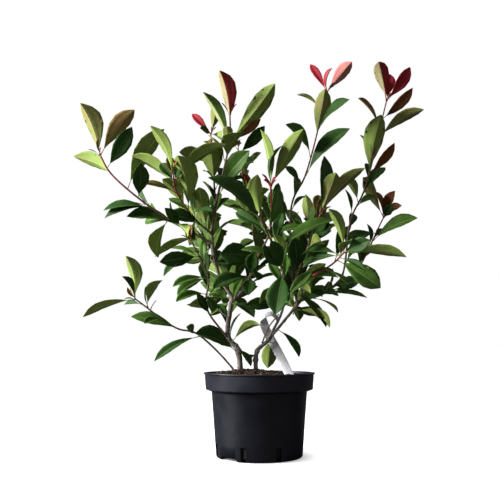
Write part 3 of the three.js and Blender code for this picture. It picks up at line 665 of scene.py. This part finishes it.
# limb: (share, headings, reach, lean, width, age and turn); the dark and shaded sets also stand for painted
# shade
FANS = {
    "far_left_bough": [
        (1, [-20], 95, 15, 36, "olive ridge_left"), (1, [40], 100, 15, 26, "bronze under"),
        (0.9, [40], 90, 30, 24, "dark shade"), (0.85, [-60], 108, -30, 26, "green under"),
        (0.7, [30], 125, 0, 34, "green under"), (0.6, [15], 75, 50, 25, "dark shade"),
        (0.5, [-95, -105], 80, 5, 20, "dark over"), (0.25, [-80], 95, 5, 32, "dark over"),
        (0.35, [-170], 85, 30, 28, "green under"), (0.3, [140], 70, 50, 20, "green under"),
        (0.25, [-45], 60, 60, 18, "dark face"), (0.1, [-115], 85, 5, 15, "green under"),
    ],
    "upper_left_bough": [
        (0.85, [-53], 103, -15, 26, "green under"), (1, [-25], 90, 10, 22, "green under"),
        (0.9, [55], 110, 5, 26, "green under"), (0.9, [-35, 15], 45, -15, 18, "dark face"),
        (0.45, [-10], 100, 30, 40, "green ridge_left"), (0.5, [-40], 65, 20, 25, "green under"),
        (0.4, [95], 60, 50, 15, "dark over"), (0.2, [-75], 60, 25, 24, "dark over"),
        (0.1, [-10], 75, 20, 30, "green ridge_right"),
    ],
    "left_leader": [
        (0.95, [-12], 97, 35, 31, "red ridge_left"), (0.85, [-28], 100, 10, 22, "shaded ridge_left"),
        (0.85, [40], 130, 15, 36, "green ridge_right"), (0.85, [50], 75, -10, 14, "bronze shade"),
        (0.8, [0], 55, 55, 18, "olive ridge"), (0.75, [40], 80, 60, 34, "green under"),
        (0.6, [45], 90, 35, 34, "green face"), (0.6, [50], 85, 0, 30, "dark over"),
        (0.2, [75, 95], 50, 50, 17, "dark over"),
    ],
    "rear_peak_bough": [
        (1, [-40], 58, -12, 14, "red face"), (1, [15], 60, 40, 22, "olive ridge"),
        (1, [-85], 35, 60, 15, "dark face"), (1, [140], 70, 60, 16, "green under"),
        (0.3, [-5], 70, 30, 42, "green ridge"), (0.55, [-70], 65, 10, 24, "olive under"),
    ],
    "centre_bough": [
        (0.95, [50], 75, 35, 20, "dark shade"), (0.65, [20], 55, 15, 22, "olive side"),
        (0.6, [-10], 30, 35, 12, "red side"),
    ],
    "front_centre_bough": [
        (1, [-10], 95, 5, 18, "green under"), (1, [30], 105, 15, 25, "green ridge_right"),
        (1, [15], 70, 5, 15, "dark side"), (0.95, [-40], 25, 45, 11, "red side"),
    ],
    "front_bough": [
        (0.95, [-50], 115, 10, 38, "dark over"), (1, [-5], 70, 5, 28, "green ridge_right"),
        (0.9, [15], 75, 0, 20, "green shade"), (0.75, [62], 105, 5, 26, "green over"),
        (0.75, [-40], 80, 5, 15, "green side"), (0.6, [-45, -25], 60, 40, 22, "dark face"),
        (0.65, [-15], 55, 35, 22, "green under"), (0.6, [-170], 82, 25, 36, "dark face"),
        (0.45, [-120], 65, 40, 20, "green under"), (0.34, [-95], 75, 30, 20, "dark face"),
    ],
    "right_peak_bough": [
        (1, [-25], 72, -15, 14, "red face"), (1, [42], 70, 25, 22, "pink ridge_right"),
        (1, [10], 45, 35, 14, "red side"), (0.9, [-60], 55, 10, 18, "olive side"),
        (0.8, [55], 85, 45, 27, "dark over"), (0.75, [10], 90, 25, 30, "olive ridge"),
        (0.65, [-50], 90, 45, 27, "green over"), (0.55, [45], 115, 20, 30, "dark over"),
        (0.3, [-50], 60, -20, 38, "dark face"), (0.5, [-45], 45, 25, 14, "dark over"),
    ],
    "right_inner_bough": [
        (1, [20], 75, 30, 28, "olive ridge"), (1, [45], 105, 25, 22, "olive under"),
        (0.7, [35, 70], 55, 55, 24, "dark face"), (0.55, [80], 55, 70, 22, "green under"),
        (0.2, [-10], 75, 45, 30, "dark face"), (0.2, [-40], 50, 60, 17, "dark face"),
        (1, [5], 100, 0, 28, "dark shade"),
    ],
    "far_right_peak_bough": [
        (1, [-20], 75, 35, 28, "red ridge_left"), (1, [10], 55, -5, 20, "red face"),
        (1, [36], 72, 25, 20, "red shade"), (0.9, [50], 85, 50, 18, "bronze shade"),
        (0.85, [-50], 80, 40, 24, "bronze over"), (0.8, [60], 95, 15, 23, "olive under"),
        (0.65, [-15], 65, -10, 14, "dark side"), (0.6, [10], 110, 20, 38, "green ridge"),
        (0.6, [40], 80, 45, 17, "bronze shade"), (0.5, [40], 70, -10, 20, "dark over"),
        (0.45, [-40], 65, 45, 18, "green under"),
    ],
    "far_right_bough": [
        (1, [-30], 90, 30, 24, "olive ridge"), (1, [-25, 20], 55, 30, 18, "bronze over"),
        (1, [60], 50, 55, 16, "bronze over"), (0.7, [65], 95, 35, 28, "green over"),
        (0.8, [-115], 80, 30, 24, "dark over"), (1, [20], 50, 70, 16, "dark face"),
        (0.65, [-105], 35, 35, 13, "dark face"),
    ],
    "right_front_bough": [
        (0.85, [125], 80, 10, 31, "green face"), (1, [95], 95, 5, 21, "green under"),
        (1, [-25], 80, 35, 17, "green under"), (1, [70], 55, 50, 22, "dark face"),
        (0.95, [-102, -80], 90, -50, 18, "dark over"), (0.9, [30], 55, 65, 17, "green under"),
        (0.2, [85], 60, 10, 15, "green over"),
    ],
    "right_inner_limb": [
        (0.75, [140], 85, 15, 23, "dark over"), (1, [120], 55, 55, 15, "green under"),
    ],
    "right_limb": [
        (0.1, [-175], 58, -25, 26, "green ridge"), (0.3, [145], 75, 40, 18, "dark over"),
        (0.75, [120], 85, 40, 21, "green under"), (1, [75], 55, 45, 15, "dark face"),
    ],
    "right_outer_limb": [
        (0.6, [95], 80, 10, 11, "green over"), (1, [80], 70, 55, 21, "dark face"),
        (1, [-95], 35, 70, 16, "green face"),
    ],
    "left_inner_limb": [
        (1, [-90], 70, 25, 37, "dark face"), (0.6, [10, -175], 60, 55, 22, "dark face"),
        (0.6, [-110], 75, 30, 25, "dark over"), (0.75, [160], 40, 55, 17, "dark over"),
    ],
    "left_main_stem": [
        (0.5, [60], 80, 45, 17, "green under"), (0.37, [-66], 88, 35, 34, "dark over"),
        (0.95, [125], 80, 55, 19, "dark over"), (0.42, [140], 42, 20, 13, "dark over"),
    ],
    "right_main_stem": [(0.65, [-120], 25, 40, 8, "dark over")],
    "low_left_bough": [
        (0.85, [-105], 80, 40, 24, "dark face"), (0.85, [-125], 80, 35, 16, "dark over"),
        (0.65, [-110, -125], 75, 40, 17, "green over"),
        (0.5, [-110], 75, 50, 19, "green over"), (0.5, [105, 160], 55, 50, 17, "green over"),
        (0.35, [-70], 45, 50, 23, "green under"), (0.3, [-30], 60, 50, 14, "dark face"),
    ],
    "low_side_stem": [
        (1, [-10], 75, 20, 27, "green ridge_left"), (1, [-25], 50, 40, 15, "dark side"),
        (1, [-110], 90, 10, 16, "green under"), (0.9, [35], 60, 30, 22, "green under"),
        (0.75, [-105], 45, 55, 13, "green over"), (0.6, [-75], 85, 10, 20, "green over"),
        (0.5, [-50], 30, 65, 13, "green over"), (0.45, [-120], 90, 25, 15, "dark over"),
    ],
}

SHOW_SIDE = Vector((0, -1, 0))
ROLL_SPREAD, FOLD_PLAY, BOW_PLAY = 8, (0.85, 1.15), (0.7, 1.3)
FOOT_DEPTH = 0.7  # where a stalk starts, as a share of the limb's radius


def place_leaf(limb, share, direction, facing, roll, reach, width, age, fold=None, bow=None):
    """Grows a leaf out of a limb's side, with its reach and width in millimetres."""
    upper = leaf_frame(direction, facing, roll + rng.uniform(-ROLL_SPREAD, ROLL_SPREAD))
    outward = (direction - upper).normalized()
    foot = axes[limb].at(share) + outward * limb_radius(limb, share) * FOOT_DEPTH
    grow_leaf(foot, direction, upper, reach * MM, width * MM, age, fold, bow)


for limb, fans in FANS.items():
    for share, clocks, reach, lean, width, look in fans:
        age, turned_as = look.split()
        roll, fold, bow, wider = TURNED[turned_as]
        for clock in clocks:
            outer = -1 if clock > 0 and not turned_as.startswith("ridge") else 1
            place_leaf(limb, share, heading(clock, lean), SHOW_SIDE, outer * roll, reach, width * wider,
                       age, fold * rng.uniform(*FOLD_PLAY), bow * rng.uniform(*BOW_PLAY))
print("leading leaves:", sum(len(clocks) for fans in FANS.values() for _, clocks, *_ in fans))

# %% [markdown]
# ## Clothing the limbs
# Between and behind the leading leaves a photinia carries many more. Plants set each leaf about
# 137.5 degrees round the shoot from the one before, so that no leaf hides the next, and the same
# turn is used here. On shoots that face the viewer the rule keeps leaves to the far side, which
# leaves the gaps between the sprays open. The rear boughs are clothed all round. The seed of the
# random numbers is fixed, so the shrub grows the same way every time.

# %% Leaves by the golden angle
GOLDEN_ANGLE = 137.5
REAR = [name for name in LIMBS if name.startswith("rear") and name != "rear_peak_bough"]
# limb: clothed stretch, number of leaves, longest reach, ages dealt out, where dark is also painted shade
CLOTHED = {
    "far_left_bough": (0.2, 0.6, 5, 62, "green dark"),
    "upper_left_bough": (0.3, 0.97, 7, 60, "green dark olive"),
    "left_leader": (0.3, 0.8, 11, 70, "green dark olive"),
    "rear_peak_bough": (0.2, 0.8, 7, 62, "green dark olive"),
    "centre_bough": (0.15, 0.8, 14, 60, "green dark green olive"),
    "front_centre_bough": (0.3, 0.8, 5, 60, "green dark"),
    "front_bough": (0.35, 0.95, 8, 62, "green dark"),
    "right_peak_bough": (0.1, 0.45, 7, 66, "dark green"),
    "right_inner_bough": (0.2, 0.95, 8, 62, "dark green olive"),
    "far_right_peak_bough": (0.1, 0.6, 8, 60, "green dark"),
    "far_right_bough": (0.2, 0.8, 6, 62, "green dark"),
    "right_front_bough": (0.6, 0.97, 3, 56, "green dark"),
    "right_outer_limb": (0.3, 0.95, 6, 60, "green dark"),
    "right_inner_limb": (0.3, 0.95, 7, 60, "green dark"),
    "left_inner_limb": (0.35, 0.95, 10, 62, "dark green"),
    "left_main_stem": (0.5, 0.95, 4, 60, "dark green"),
    "low_left_bough": (0.4, 0.97, 6, 58, "dark green green"),
    "low_side_stem": (0.85, 0.97, 2, 45, "green dark"),
    # the rear boughs are dealt mostly dark leaves, painted shade for the back of the crown
    **{name: (0.3, 0.98, 22, 78, "dark dark dark green") for name in REAR},
}
SIDEWAYS, BACKWARDS, BACKWARD_PUSH = 0.75, 1.2, 0.25  # how leaves are kept to the far side
SPACING, TURNS, ROLLS = (0.2, 0.8), (-15, 15), (-20, 20)
PULLS, REACHES, WIDTHS = (0.7, 1.4), (0.75, 1.1), (0.27, 0.36)
MIXING = (-0.6, 0.6)  # how far the ages of neighbours mix
for limb, (start, stop, count, longest, ages) in CLOTHED.items():
    ages = ages.split()
    for i in range(count):
        share = start + (stop - start) * (i + rng.uniform(*SPACING)) / count
        along = axes[limb].along(share)
        across, away = cross_frame(along)
        turn = math.radians(i * GOLDEN_ANGLE + rng.uniform(*TURNS))
        outward = across * math.cos(turn) + away * math.sin(turn)
        if limb not in REAR:
            outward.x *= SIDEWAYS
            outward.y = abs(outward.y) * BACKWARDS + BACKWARD_PUSH
        direction = (along * rng.uniform(*PULLS) + outward.normalized()).normalized()
        reach = longest * rng.uniform(*REACHES)
        pick = int(len(ages) * (share - start) / (stop - start) + rng.uniform(*MIXING))
        age = ages[min(len(ages) - 1, pick)]
        roll = rng.uniform(*ROLLS)
        width = reach * rng.uniform(*WIDTHS)
        place_leaf(limb, share, direction, along, roll, reach, width, age)
print("leaves so far:", sum(len(builder.faces) for builder in leaves.values()) // len(BLADES["green"][0]))

# %% [markdown]
# Every growing shoot ends in a tuft of very small leaves round its bud. They are the youngest on the
# plant, so they are red or bronze even where the leaves below them are green. Three to a shoot, by
# the same golden angle, are enough to close its end.

# %% Young tips, and one piece for each age
TIP_START, TIP_PULL, TIP_LEAVES = 40, 1.6, 3
TIP_REACHES, TIP_WIDTHS = (16, 30), (6, 9)
YOUNG_TIPS = {"right_peak_bough": "red", "far_right_peak_bough": "red", "far_right_bough": "red",
              "left_leader": "red", "rear_peak_bough": "pink", "centre_bough": "red",
              "front_centre_bough": "red", "right_front_bough": "olive", "front_bough": "olive"}
growing = [name for name in LIMBS if name in CLOTHED and not name.endswith(("limb", "main_stem"))]
for limb in growing:
    along = axes[limb].along(1)
    across, away = cross_frame(along)
    for i in range(TIP_LEAVES):
        turn = math.radians(i * GOLDEN_ANGLE + TIP_START)
        direction = (along * TIP_PULL + across * math.cos(turn) + away * math.sin(turn)).normalized()
        place_leaf(limb, 1, direction, along, 0, rng.uniform(*TIP_REACHES), rng.uniform(*TIP_WIDTHS),
                   YOUNG_TIPS.get(limb, "bronze"))

masses = [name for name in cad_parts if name.endswith("foliage")]
for age, builder in leaves.items():
    piece = builder.piece(f"leaves_{age}", LEAF_FINISHES)
    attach(piece, "root")
    if age == "green":
        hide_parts(*masses)
leaf_stalks = stalks.piece("leaf_stalks", [BARK[RED], LEAF_AGES["green"][RIB]])
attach(leaf_stalks, "root")

# %% [markdown]
# ## The pot
# A nursery pot is moulded from thin black plastic, so it is slightly glossy, scuffed, and dusty on its
# upper faces. The band at the rim has a slightly paler finish of its own, painted light for the stronger
# key light that the band catches.
# The wall is turned here as one closed skin with more steps than the measured solid. A lathe
# modifier would do the same, but a plain outline keeps every radius and height in sight.

# %% Turn the pot
_, pot_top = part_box("pot")
POT_HEIGHT = pot_top.z
BASE, BODY_TOP, BAND_FOOT, BAND_TOP, RIM = 73.5 * MM, 82 * MM, 92 * MM, 94 * MM, 96 * MM
BAND_HEIGHT, LIP, WALL, FLOOR = 28 * MM, 2.6 * MM, 1.8 * MM, 3 * MM
SHOULDER = POT_HEIGHT - BAND_HEIGHT
POT_SIDES, ROUNDING = 144, 1.2 * MM
CENTRE = 1 * MM  # the outline stops short of the axis, where skin() closes it
# heights of extra rings near the drain slots, so that the slots don't pull the shading of the wall
SLOT_RINGS = (25 * MM, 30 * MM, 60 * MM)


def turned(profile, sides):
    """Closed skin turned about the pot's axis from (radius, height) pairs, open at neither end."""
    rings = [[Vector((r * math.sin(a), -r * math.cos(a), z)) for a in round_angles(sides)]
             for r, z in profile]
    return skin(rings, UP * profile[0][1], UP * profile[-1][1])


def rounded(profile, size, steps=3):
    """Replaces each corner of an outline with a small arc-like bend."""
    out = [profile[0]]
    for before, here, after in zip(profile, profile[1:], profile[2:]):
        b, h, a = Vector(before), Vector(here), Vector(after)
        reach = min(size, (b - h).length / 2.1, (a - h).length / 2.1)
        start, stop = h + (b - h).normalized() * reach, h + (a - h).normalized() * reach
        for i in range(steps + 1):
            t = i / steps
            out.append(tuple(start * (1 - t) ** 2 + h * (2 * t * (1 - t)) + stop * t**2))
    return out + [profile[-1]]


outside, inside = ([(BASE + (BODY_TOP - BASE) * z / SHOULDER - inset, z) for z in SLOT_RINGS]
                   for inset in (0, WALL))
wall_outline = [
    (CENTRE, 0), (BASE - 1.6 * MM, 0), (BASE, 2 * MM), *outside, (BODY_TOP, SHOULDER - 3.5 * MM),
    (BAND_FOOT, SHOULDER), (BAND_TOP, POT_HEIGHT - LIP), (RIM, POT_HEIGHT - LIP + 0.4 * MM),
    (RIM, POT_HEIGHT), (BAND_TOP - WALL, POT_HEIGHT), (BAND_FOOT - WALL, SHOULDER + 1 * MM),
    (BODY_TOP - WALL, SHOULDER - 2.5 * MM), *reversed(inside), (BASE - WALL, FLOOR), (CENTRE, FLOOR)]
pot_builder = Builder()
pot_builder.add(*turned(rounded(wall_outline, ROUNDING), POT_SIDES), 0)
nursery_pot = pot_builder.piece("nursery_pot", [
    finish("pot_black", "#0c0d17", "#161723", 0.5, 30, (0.38, 0.5), 260, 0.1, dust=0.05, specular=0.35),
    # the band's paler finish is painted light
    finish("pot_band_painted_light", "#1f202a", "#2a2b37", 0.5, 30, (0.36, 0.48), 260, 0.1, dust=0.12, specular=0.4)])

# %% [markdown]
# Water leaves the pot through tall slots low in its wall and through wide arches in its foot. The
# mould would leave them open. Here blocks of the right outline are cut out of the wall with one
# boolean, which keeps both sides of each opening crisp.

# %% Cut the drain slots and the foot arches
SLOT_BEARINGS, FOOT_ARCHES = (-73, -21, 24, 77, 129, 180, -125), (-46, 154)
SLOT_HALF_WIDTH, SLOT_HALF_HEIGHT, SLOT_CENTRE = 4.4 * MM, 11 * MM, 12 * MM
ARCH_HALF_WIDTH, ARCH_HEIGHT, ARCH_FOOT = 20 * MM, 7 * MM, -2 * MM
SQUARENESS, ARCH_SQUARENESS = 1.4, 1.9  # how far a circle is pushed out towards a square
SLOT_SIDES, ARCH_SIDES = 24, 32  # corners of the whole outline, of which an arch is the upper half
slot_outline = [(SLOT_HALF_WIDTH * max(-1, min(1, SQUARENESS * math.cos(a))),
                 SLOT_HALF_HEIGHT * max(-1, min(1, SQUARENESS * math.sin(a))))
                for a in round_angles(SLOT_SIDES)]
arch_outline = [(ARCH_HALF_WIDTH * math.cos(a), ARCH_HEIGHT * max(0, min(1, ARCH_SQUARENESS * math.sin(a))))
                for a in round_angles(ARCH_SIDES)[:ARCH_SIDES // 2 + 1]]
cutters = Builder()


def add_cutter(bearing, depths, height, outline):
    """A block through the wall at a bearing, from an outline of sideways and upward steps."""
    bearing = math.radians(bearing)
    outward = Vector((math.sin(bearing), -math.cos(bearing), 0))
    across = UP.cross(outward)
    rings = []
    for depth in depths:
        centre = outward * (BASE + depth) + UP * height
        rings.append([centre + across * sideways + UP * upward for sideways, upward in outline])
    cutters.add(*skin(rings, *(sum(ring, Vector()) / len(ring) for ring in rings)), 0)


for bearing in SLOT_BEARINGS:
    add_cutter(bearing, (-8 * MM, 8 * MM), SLOT_CENTRE, slot_outline)
for bearing in FOOT_ARCHES:
    add_cutter(bearing, (-30 * MM, 6 * MM), ARCH_FOOT, arch_outline)
cutter = cutters.piece("slot_cutter", [], smooth=False)
cut = nursery_pot.modifiers.new("slots", "BOOLEAN")
cut.operation = "DIFFERENCE"
cut.solver = "EXACT"
cut.object = cutter
bpy.context.view_layer.objects.active = nursery_pot
bpy.ops.object.modifier_apply(modifier="slots")
bpy.data.objects.remove(cutter)
for face in nursery_pot.data.polygons:
    # the band above the shoulder takes the paler finish, painted light
    face.material_index = 1 if face.center.z > SHOULDER else 0
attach(nursery_pot, "root")
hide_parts("pot")
print("pot faces after cutting:", len(nursery_pot.data.polygons))

# %% [markdown]
# ## The compost
# Peat and fine bark fill the pot to a low mound. A grid of rings pushed up and down by noise makes the
# ground, which is quicker than a sculpted surface and keeps its edge true to the pot. The soil goes on down
# to the pot's floor, so that no light passes through the drain slots, and below the shoulder it is near
# black: painted shade for the inside of the pot.

# %% The mound
COMPOST_EDGE, MOUND_TOP = POT_HEIGHT - 6 * MM, POT_HEIGHT + 4 * MM
HEAP_PLACE, HEAP_SPREAD = -22 * MM, 48 * MM
GAP = 0.6 * MM
COMPOST_RADIUS = BAND_TOP - WALL - GAP
SKIRT_INSET = WALL + 0.8 * MM
SOIL_FLOOR = FLOOR + 2.5 * MM
GROUND_RINGS, GROUND_SIDES = 34, 110
COARSE_LUMPS, FINE_LUMPS = (90, 1.8), (260, 1.1)  # lumps to the metre, height in mm
PEAT, PAINTED_SHADE_SOIL = 0, 4
COMPOST_FINISHES = [
    finish("compost_peat", "#2b1e18", "#43312a", 0.7, 140, (0.9, 1.0), 500, 0.8),
    finish("bark_chip", "#4c2f24", "#644434", 0.6, 180, (0.8, 0.95), 600, 0.5),
    finish("bark_chip_dark", "#221815", "#3b2a22", 0.6, 180, (0.8, 0.95), 600, 0.5),
    finish("grit_pale", "#6e5b4c", "#594838", 0.5, 220, (0.8, 0.95), 700, 0.3),
    # near black: painted shade for the soil inside the pot
    finish("compost_painted_shade", "#0e0b0a", "#171210", 0.7, 140, (0.9, 1.0), 500, 0.8),
]


def ground(x, y):
    """Height of the compost at a place."""
    share = min(1, math.hypot(x, y) / COMPOST_RADIUS)
    heap = math.exp(-((x - HEAP_PLACE)**2 + y**2) / (2 * HEAP_SPREAD**2)) * (1 - share**4)
    base = COMPOST_EDGE + (MOUND_TOP - COMPOST_EDGE) * heap
    lumps = sum(noise.noise(Vector((x, y, layer)) * scale) * height
                for layer, (scale, height) in ((0, COARSE_LUMPS), (5, FINE_LUMPS)))
    return base + lumps * MM * (1 - share**6)


soil = Builder()
rings = []
for i in range(GROUND_RINGS):
    radius = COMPOST_RADIUS * (1 - i / (GROUND_RINGS + 0.5))
    around = ((radius * math.cos(a), radius * math.sin(a)) for a in round_angles(GROUND_SIDES))
    rings.append([Vector((x, y, ground(x, y))) for x, y in around])
skirts = [[Vector((p.x * radius / COMPOST_RADIUS, p.y * radius / COMPOST_RADIUS, height)) for p in rings[0]]
          for radius, height in ((BASE - SKIRT_INSET, SOIL_FLOOR),
                                 (BODY_TOP - SKIRT_INSET, SHOULDER - 3 * MM))]
corners, faces = skin(skirts + rings, UP * SOIL_FLOOR, UP * ground(0, 0))
# faces below the shoulder take the near-black finish, painted shade
soil.add(corners, faces, [PAINTED_SHADE_SOIL if min(corners[i].z for i in face) < SHOULDER else PEAT for face in faces])
print("ground faces:", len(faces))

# %% [markdown]
# Chips of bark, crumbs of peat and pale grit lie on the mound, some of them half sunk. Each
# is a bent lump of ten corners with its own size, turn and stretch, made straight into the same
# mesh, because scattered copies of one stone would look alike. They lie evenly over the area.

# %% Crumbs on the mound
CRUMBS = 2600
CRUMB_SIZES = (0.7, 0.9, 1.2, 1.7, 2.4)
CRUMB_FINISHES = (0, 0, 1, 1, 2, 3)  # two in six are peat, three bark and one pale grit
CRUMB_LEANS, CRUMB_STRETCH, CRUMB_REACH, CRUMB_FLAT = (-0.5, 0.5), (1.0, 2.2), (0.7, 1.2), (0.25, 0.7)


def crumb(builder, place, size, flat, tint):
    """A small bent lump: two rings of four corners, a foot and a crest."""
    turn = rng.uniform(0, 6.28)
    lean = rng.uniform(*CRUMB_LEANS)
    stretch = rng.uniform(*CRUMB_STRETCH)
    rings = []
    for level in (-1, 1):
        ring = []
        for k in range(4):
            a = turn + math.pi / 2 * k
            reach = size * rng.uniform(*CRUMB_REACH) * (stretch if k % 2 else 1)
            ring.append(place + Vector((math.cos(a) * reach, math.sin(a) * reach,
                                        level * size * flat + math.cos(a) * reach * lean)))
        rings.append(ring)
    foot, crest = (ring[0] * 0.5 + ring[2] * 0.5 for ring in rings)
    builder.add(*skin(rings, foot - UP * (size * flat * 0.4), crest + UP * (size * flat * 0.5)), tint)


for _ in range(CRUMBS):
    bearing, out = rng.uniform(0, 6.283), COMPOST_RADIUS * math.sqrt(rng.uniform(0, 0.93))
    x, y = out * math.cos(bearing), out * math.sin(bearing)
    size = MM * rng.choice(CRUMB_SIZES)
    crumb(soil, Vector((x, y, ground(x, y) + size * 0.15)), size, rng.uniform(*CRUMB_FLAT),
          rng.choice(CRUMB_FINISHES))
compost = soil.piece("compost_surface", COMPOST_FINISHES, smooth=False)
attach(compost, "root")
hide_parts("compost")

# %% [markdown]
# A few weed seedlings have come up at the front of the pot. Each has two to four tiny pointed
# leaves, built as thin closed lozenges, since at 3 to 6 mm nothing finer would be seen.

# %% Seedlings
SEEDLINGS = 12
SEED_LEAF = ((0.3, 0.2), (0.6, 1.0), (0.85, 0.8))  # share of the length, share of the half width
SEED_LEAF_THICKNESS = 0.15
seedlings = Builder()
for _ in range(SEEDLINGS):
    x, y = rng.gauss(12, 22) * MM, rng.gauss(-48, 14) * MM
    foot = Vector((x, y, ground(x, y) - 0.5 * MM))
    for k in range(rng.choice((2, 3, 4))):
        a = rng.uniform(0, 6.28)
        direction = Vector((math.cos(a), math.sin(a), rng.uniform(0.5, 1.3))).normalized()
        side = direction.cross(UP).normalized()
        reach, half = rng.uniform(3, 6) * MM, rng.uniform(1.0, 1.8) * MM
        up = side.cross(direction).normalized()
        rings = [[foot + direction * reach * t + side * half * w * c + up * SEED_LEAF_THICKNESS * MM * s
                  for c, s in ((1, 0), (0, 1), (-1, 0), (0, -1))] for t, w in SEED_LEAF]
        seedlings.add(*skin(rings, foot, foot + direction * reach), 0)
seedling_leaves = seedlings.piece("compost_seedlings", [
    finish("seedling_green", "#3c5a26", "#527434", 0.5, 200, (0.5, 0.6), 900, 0.1)])
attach(seedling_leaves, "root")

# %% [markdown]
# ## The label
# A blank strap of white plastic is pushed into the compost and folded over behind the fork of the
# right stem. It is a flat section swept along its route, with rounded long edges. The strap lies
# flat to the show side low down, and turns so that its folded end leans back and shows its top.

# %% Sweep the strap
LABEL_ROUTE = [(52, -36, 132), (41, -14, 158), (28, 6, 184), (15, 15, 208), (9, 17, 226),
               (13, 13, 239), (24, 9, 241), (34, 11, 230)]
LABEL_WIDTH, LABEL_TAIL, LABEL_THICKNESS, LABEL_STEPS = 15 * MM, 12 * MM, 0.9 * MM, 96
LYING, TURNED_BACK = Vector((0.86, 0, 0.5)), Vector((0.12, 0.66, 0.67))
TURN_START, TURN_LENGTH = 0.7, 0.15  # shares of the route
# share of the half width, share of the half thickness
LABEL_SECTION = [(1, 0.5), (0.97, 1), (0.5, 1.05), (0, 1.1), (-0.5, 1.05), (-0.97, 1), (-1, 0.5),
                 (-1, -0.5), (-0.97, -1), (0, -0.9), (0.97, -1), (1, -0.5)]
label_axis = Axis([Vector(p) * MM for p in LABEL_ROUTE], 16)
strap = Builder()
rings = []
for i in range(LABEL_STEPS + 1):
    share = i / LABEL_STEPS
    along = label_axis.along(share)
    turn = min(1, max(0, (share - TURN_START) / TURN_LENGTH))
    turn = turn * turn * (3 - 2 * turn)
    half = (LABEL_WIDTH + (LABEL_TAIL - LABEL_WIDTH) * turn) / 2
    lay = LYING.lerp(TURNED_BACK, turn)
    across = (lay - lay.dot(along) * along).normalized()
    away = along.cross(across).normalized()
    centre = label_axis.at(share)
    rings.append([centre + across * half * a + away * LABEL_THICKNESS / 2 * b for a, b in LABEL_SECTION])
strap.add(*skin(rings, label_axis.at(0), label_axis.at(1)), 0)
label_strap = strap.piece("label_strap", [
    finish("label_plastic", "#dedee2", "#d2d2d8", 0.4, 50, (0.35, 0.5), 300, 0.05)])
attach(label_strap, "root")
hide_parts("plant_label")

# %% [markdown]
# ## Floor, light and camera
# The plant stands on a pale floor in soft studio light: a strong key light at the left, a low one
# that draws the pot's side out of the dark, a weak fill at the right, and a white room all round.
# The floor looks white to the camera but throws little light back, so the shadows in the crown stay
# deep. The floor and the lights belong to the stage and not to the plant.

# %% Floor and room
FLOOR_RADIUS, FLOOR_TOP, FLOOR_BOTTOM = 20, -0.0005, -0.02
FLOOR_CENTRE, FLOOR_SIDES = 0.01, 96
SHADOW_RADII = (0.04, 0.11)  # between these the floor fades from plain to glowing white


def grey(level):
    return (level, level, level, 1)


floor = Builder()
floor.add(*turned([(FLOOR_CENTRE, FLOOR_BOTTOM), (FLOOR_RADIUS, FLOOR_BOTTOM),
                   (FLOOR_RADIUS, FLOOR_TOP), (FLOOR_CENTRE, FLOOR_TOP)], FLOOR_SIDES), 0)
floor_white = bpy.data.materials.new("floor_white")
floor_white.use_nodes = True
tree = floor_white.node_tree
distance = node(tree, "ShaderNodeVectorMath", {0: own_place(tree)}, operation="LENGTH")["Value"]
far = node(tree, "ShaderNodeMapRange", {
    "Value": distance, "From Min": SHADOW_RADII[0], "From Max": SHADOW_RADII[1]},
    interpolation_type="SMOOTHSTEP")["Result"]
seen = node(tree, "ShaderNodeLightPath", {})["Is Camera Ray"]
feed(tree, tree.nodes["Principled BSDF"].inputs, {
    "Base Color": colour_mix(tree, seen, grey(0.12), grey(0.85)),
    "Emission Color": colour_mix(tree, product(tree, far, seen), grey(0), grey(1)),
    "Emission Strength": 1.0, "Roughness": 0.95, "Specular IOR Level": 0.1})
studio_floor = floor.piece("studio_floor", [floor_white], smooth=False)

FILL_LIGHT = grey(0.16)
world = bpy.data.worlds.new("studio")
world.use_nodes = True
bpy.context.scene.world = world
tree = world.node_tree
seen = node(tree, "ShaderNodeLightPath", {})["Is Camera Ray"]
feed(tree, tree.nodes["Background"].inputs, {
    "Color": colour_mix(tree, seen, FILL_LIGHT, grey(1)), "Strength": 1.0})

# %% [markdown]
# Large soft lamps do what a studio's softboxes do: the bigger the lamp, the softer the edge of each
# shadow. The camera stands just above the pot's rim and is tilted up slightly, so the crown is seen
# from a little below and the compost as a thin strip.

# %% Lamps and camera
def softbox(name, place, target, size, power):
    """Square area lamp that faces its target."""
    data = bpy.data.lights.new(name, "AREA")
    data.size = size
    data.energy = power
    lamp = bpy.data.objects.new(name, data)
    lamp.location = place
    lamp.rotation_euler = (Vector(target) - Vector(place)).to_track_quat("-Z", "Y").to_euler()
    bpy.context.scene.collection.objects.link(lamp)


PLANT_CENTRE, POT_CENTRE = (0, 0, 0.35), (0, 0, 0.1)
softbox("key_light", (-2.2, -0.5, 1.1), PLANT_CENTRE, size=0.8, power=135)
softbox("low_light", (-1.7, -0.3, 0.3), POT_CENTRE, size=0.7, power=5)
softbox("fill_light", (1.6, -1.8, 0.9), PLANT_CENTRE, size=1.2, power=3)

CAMERA_PLACE = Vector((-0.016, -1.191, 0.189))
CAMERA_TILT = 7.86
camera_data = bpy.data.cameras.new("view")
camera_data.sensor_width = 36
camera_data.lens = 48.9
camera = bpy.data.objects.new("view", camera_data)
camera.location = CAMERA_PLACE
camera.rotation_euler = (math.radians(90 + CAMERA_TILT), 0, 0)
bpy.context.scene.collection.objects.link(camera)
bpy.context.scene.camera = camera
bpy.context.scene.view_settings.view_transform = "Standard"
print("camera at", tuple(round(v, 3) for v in CAMERA_PLACE))
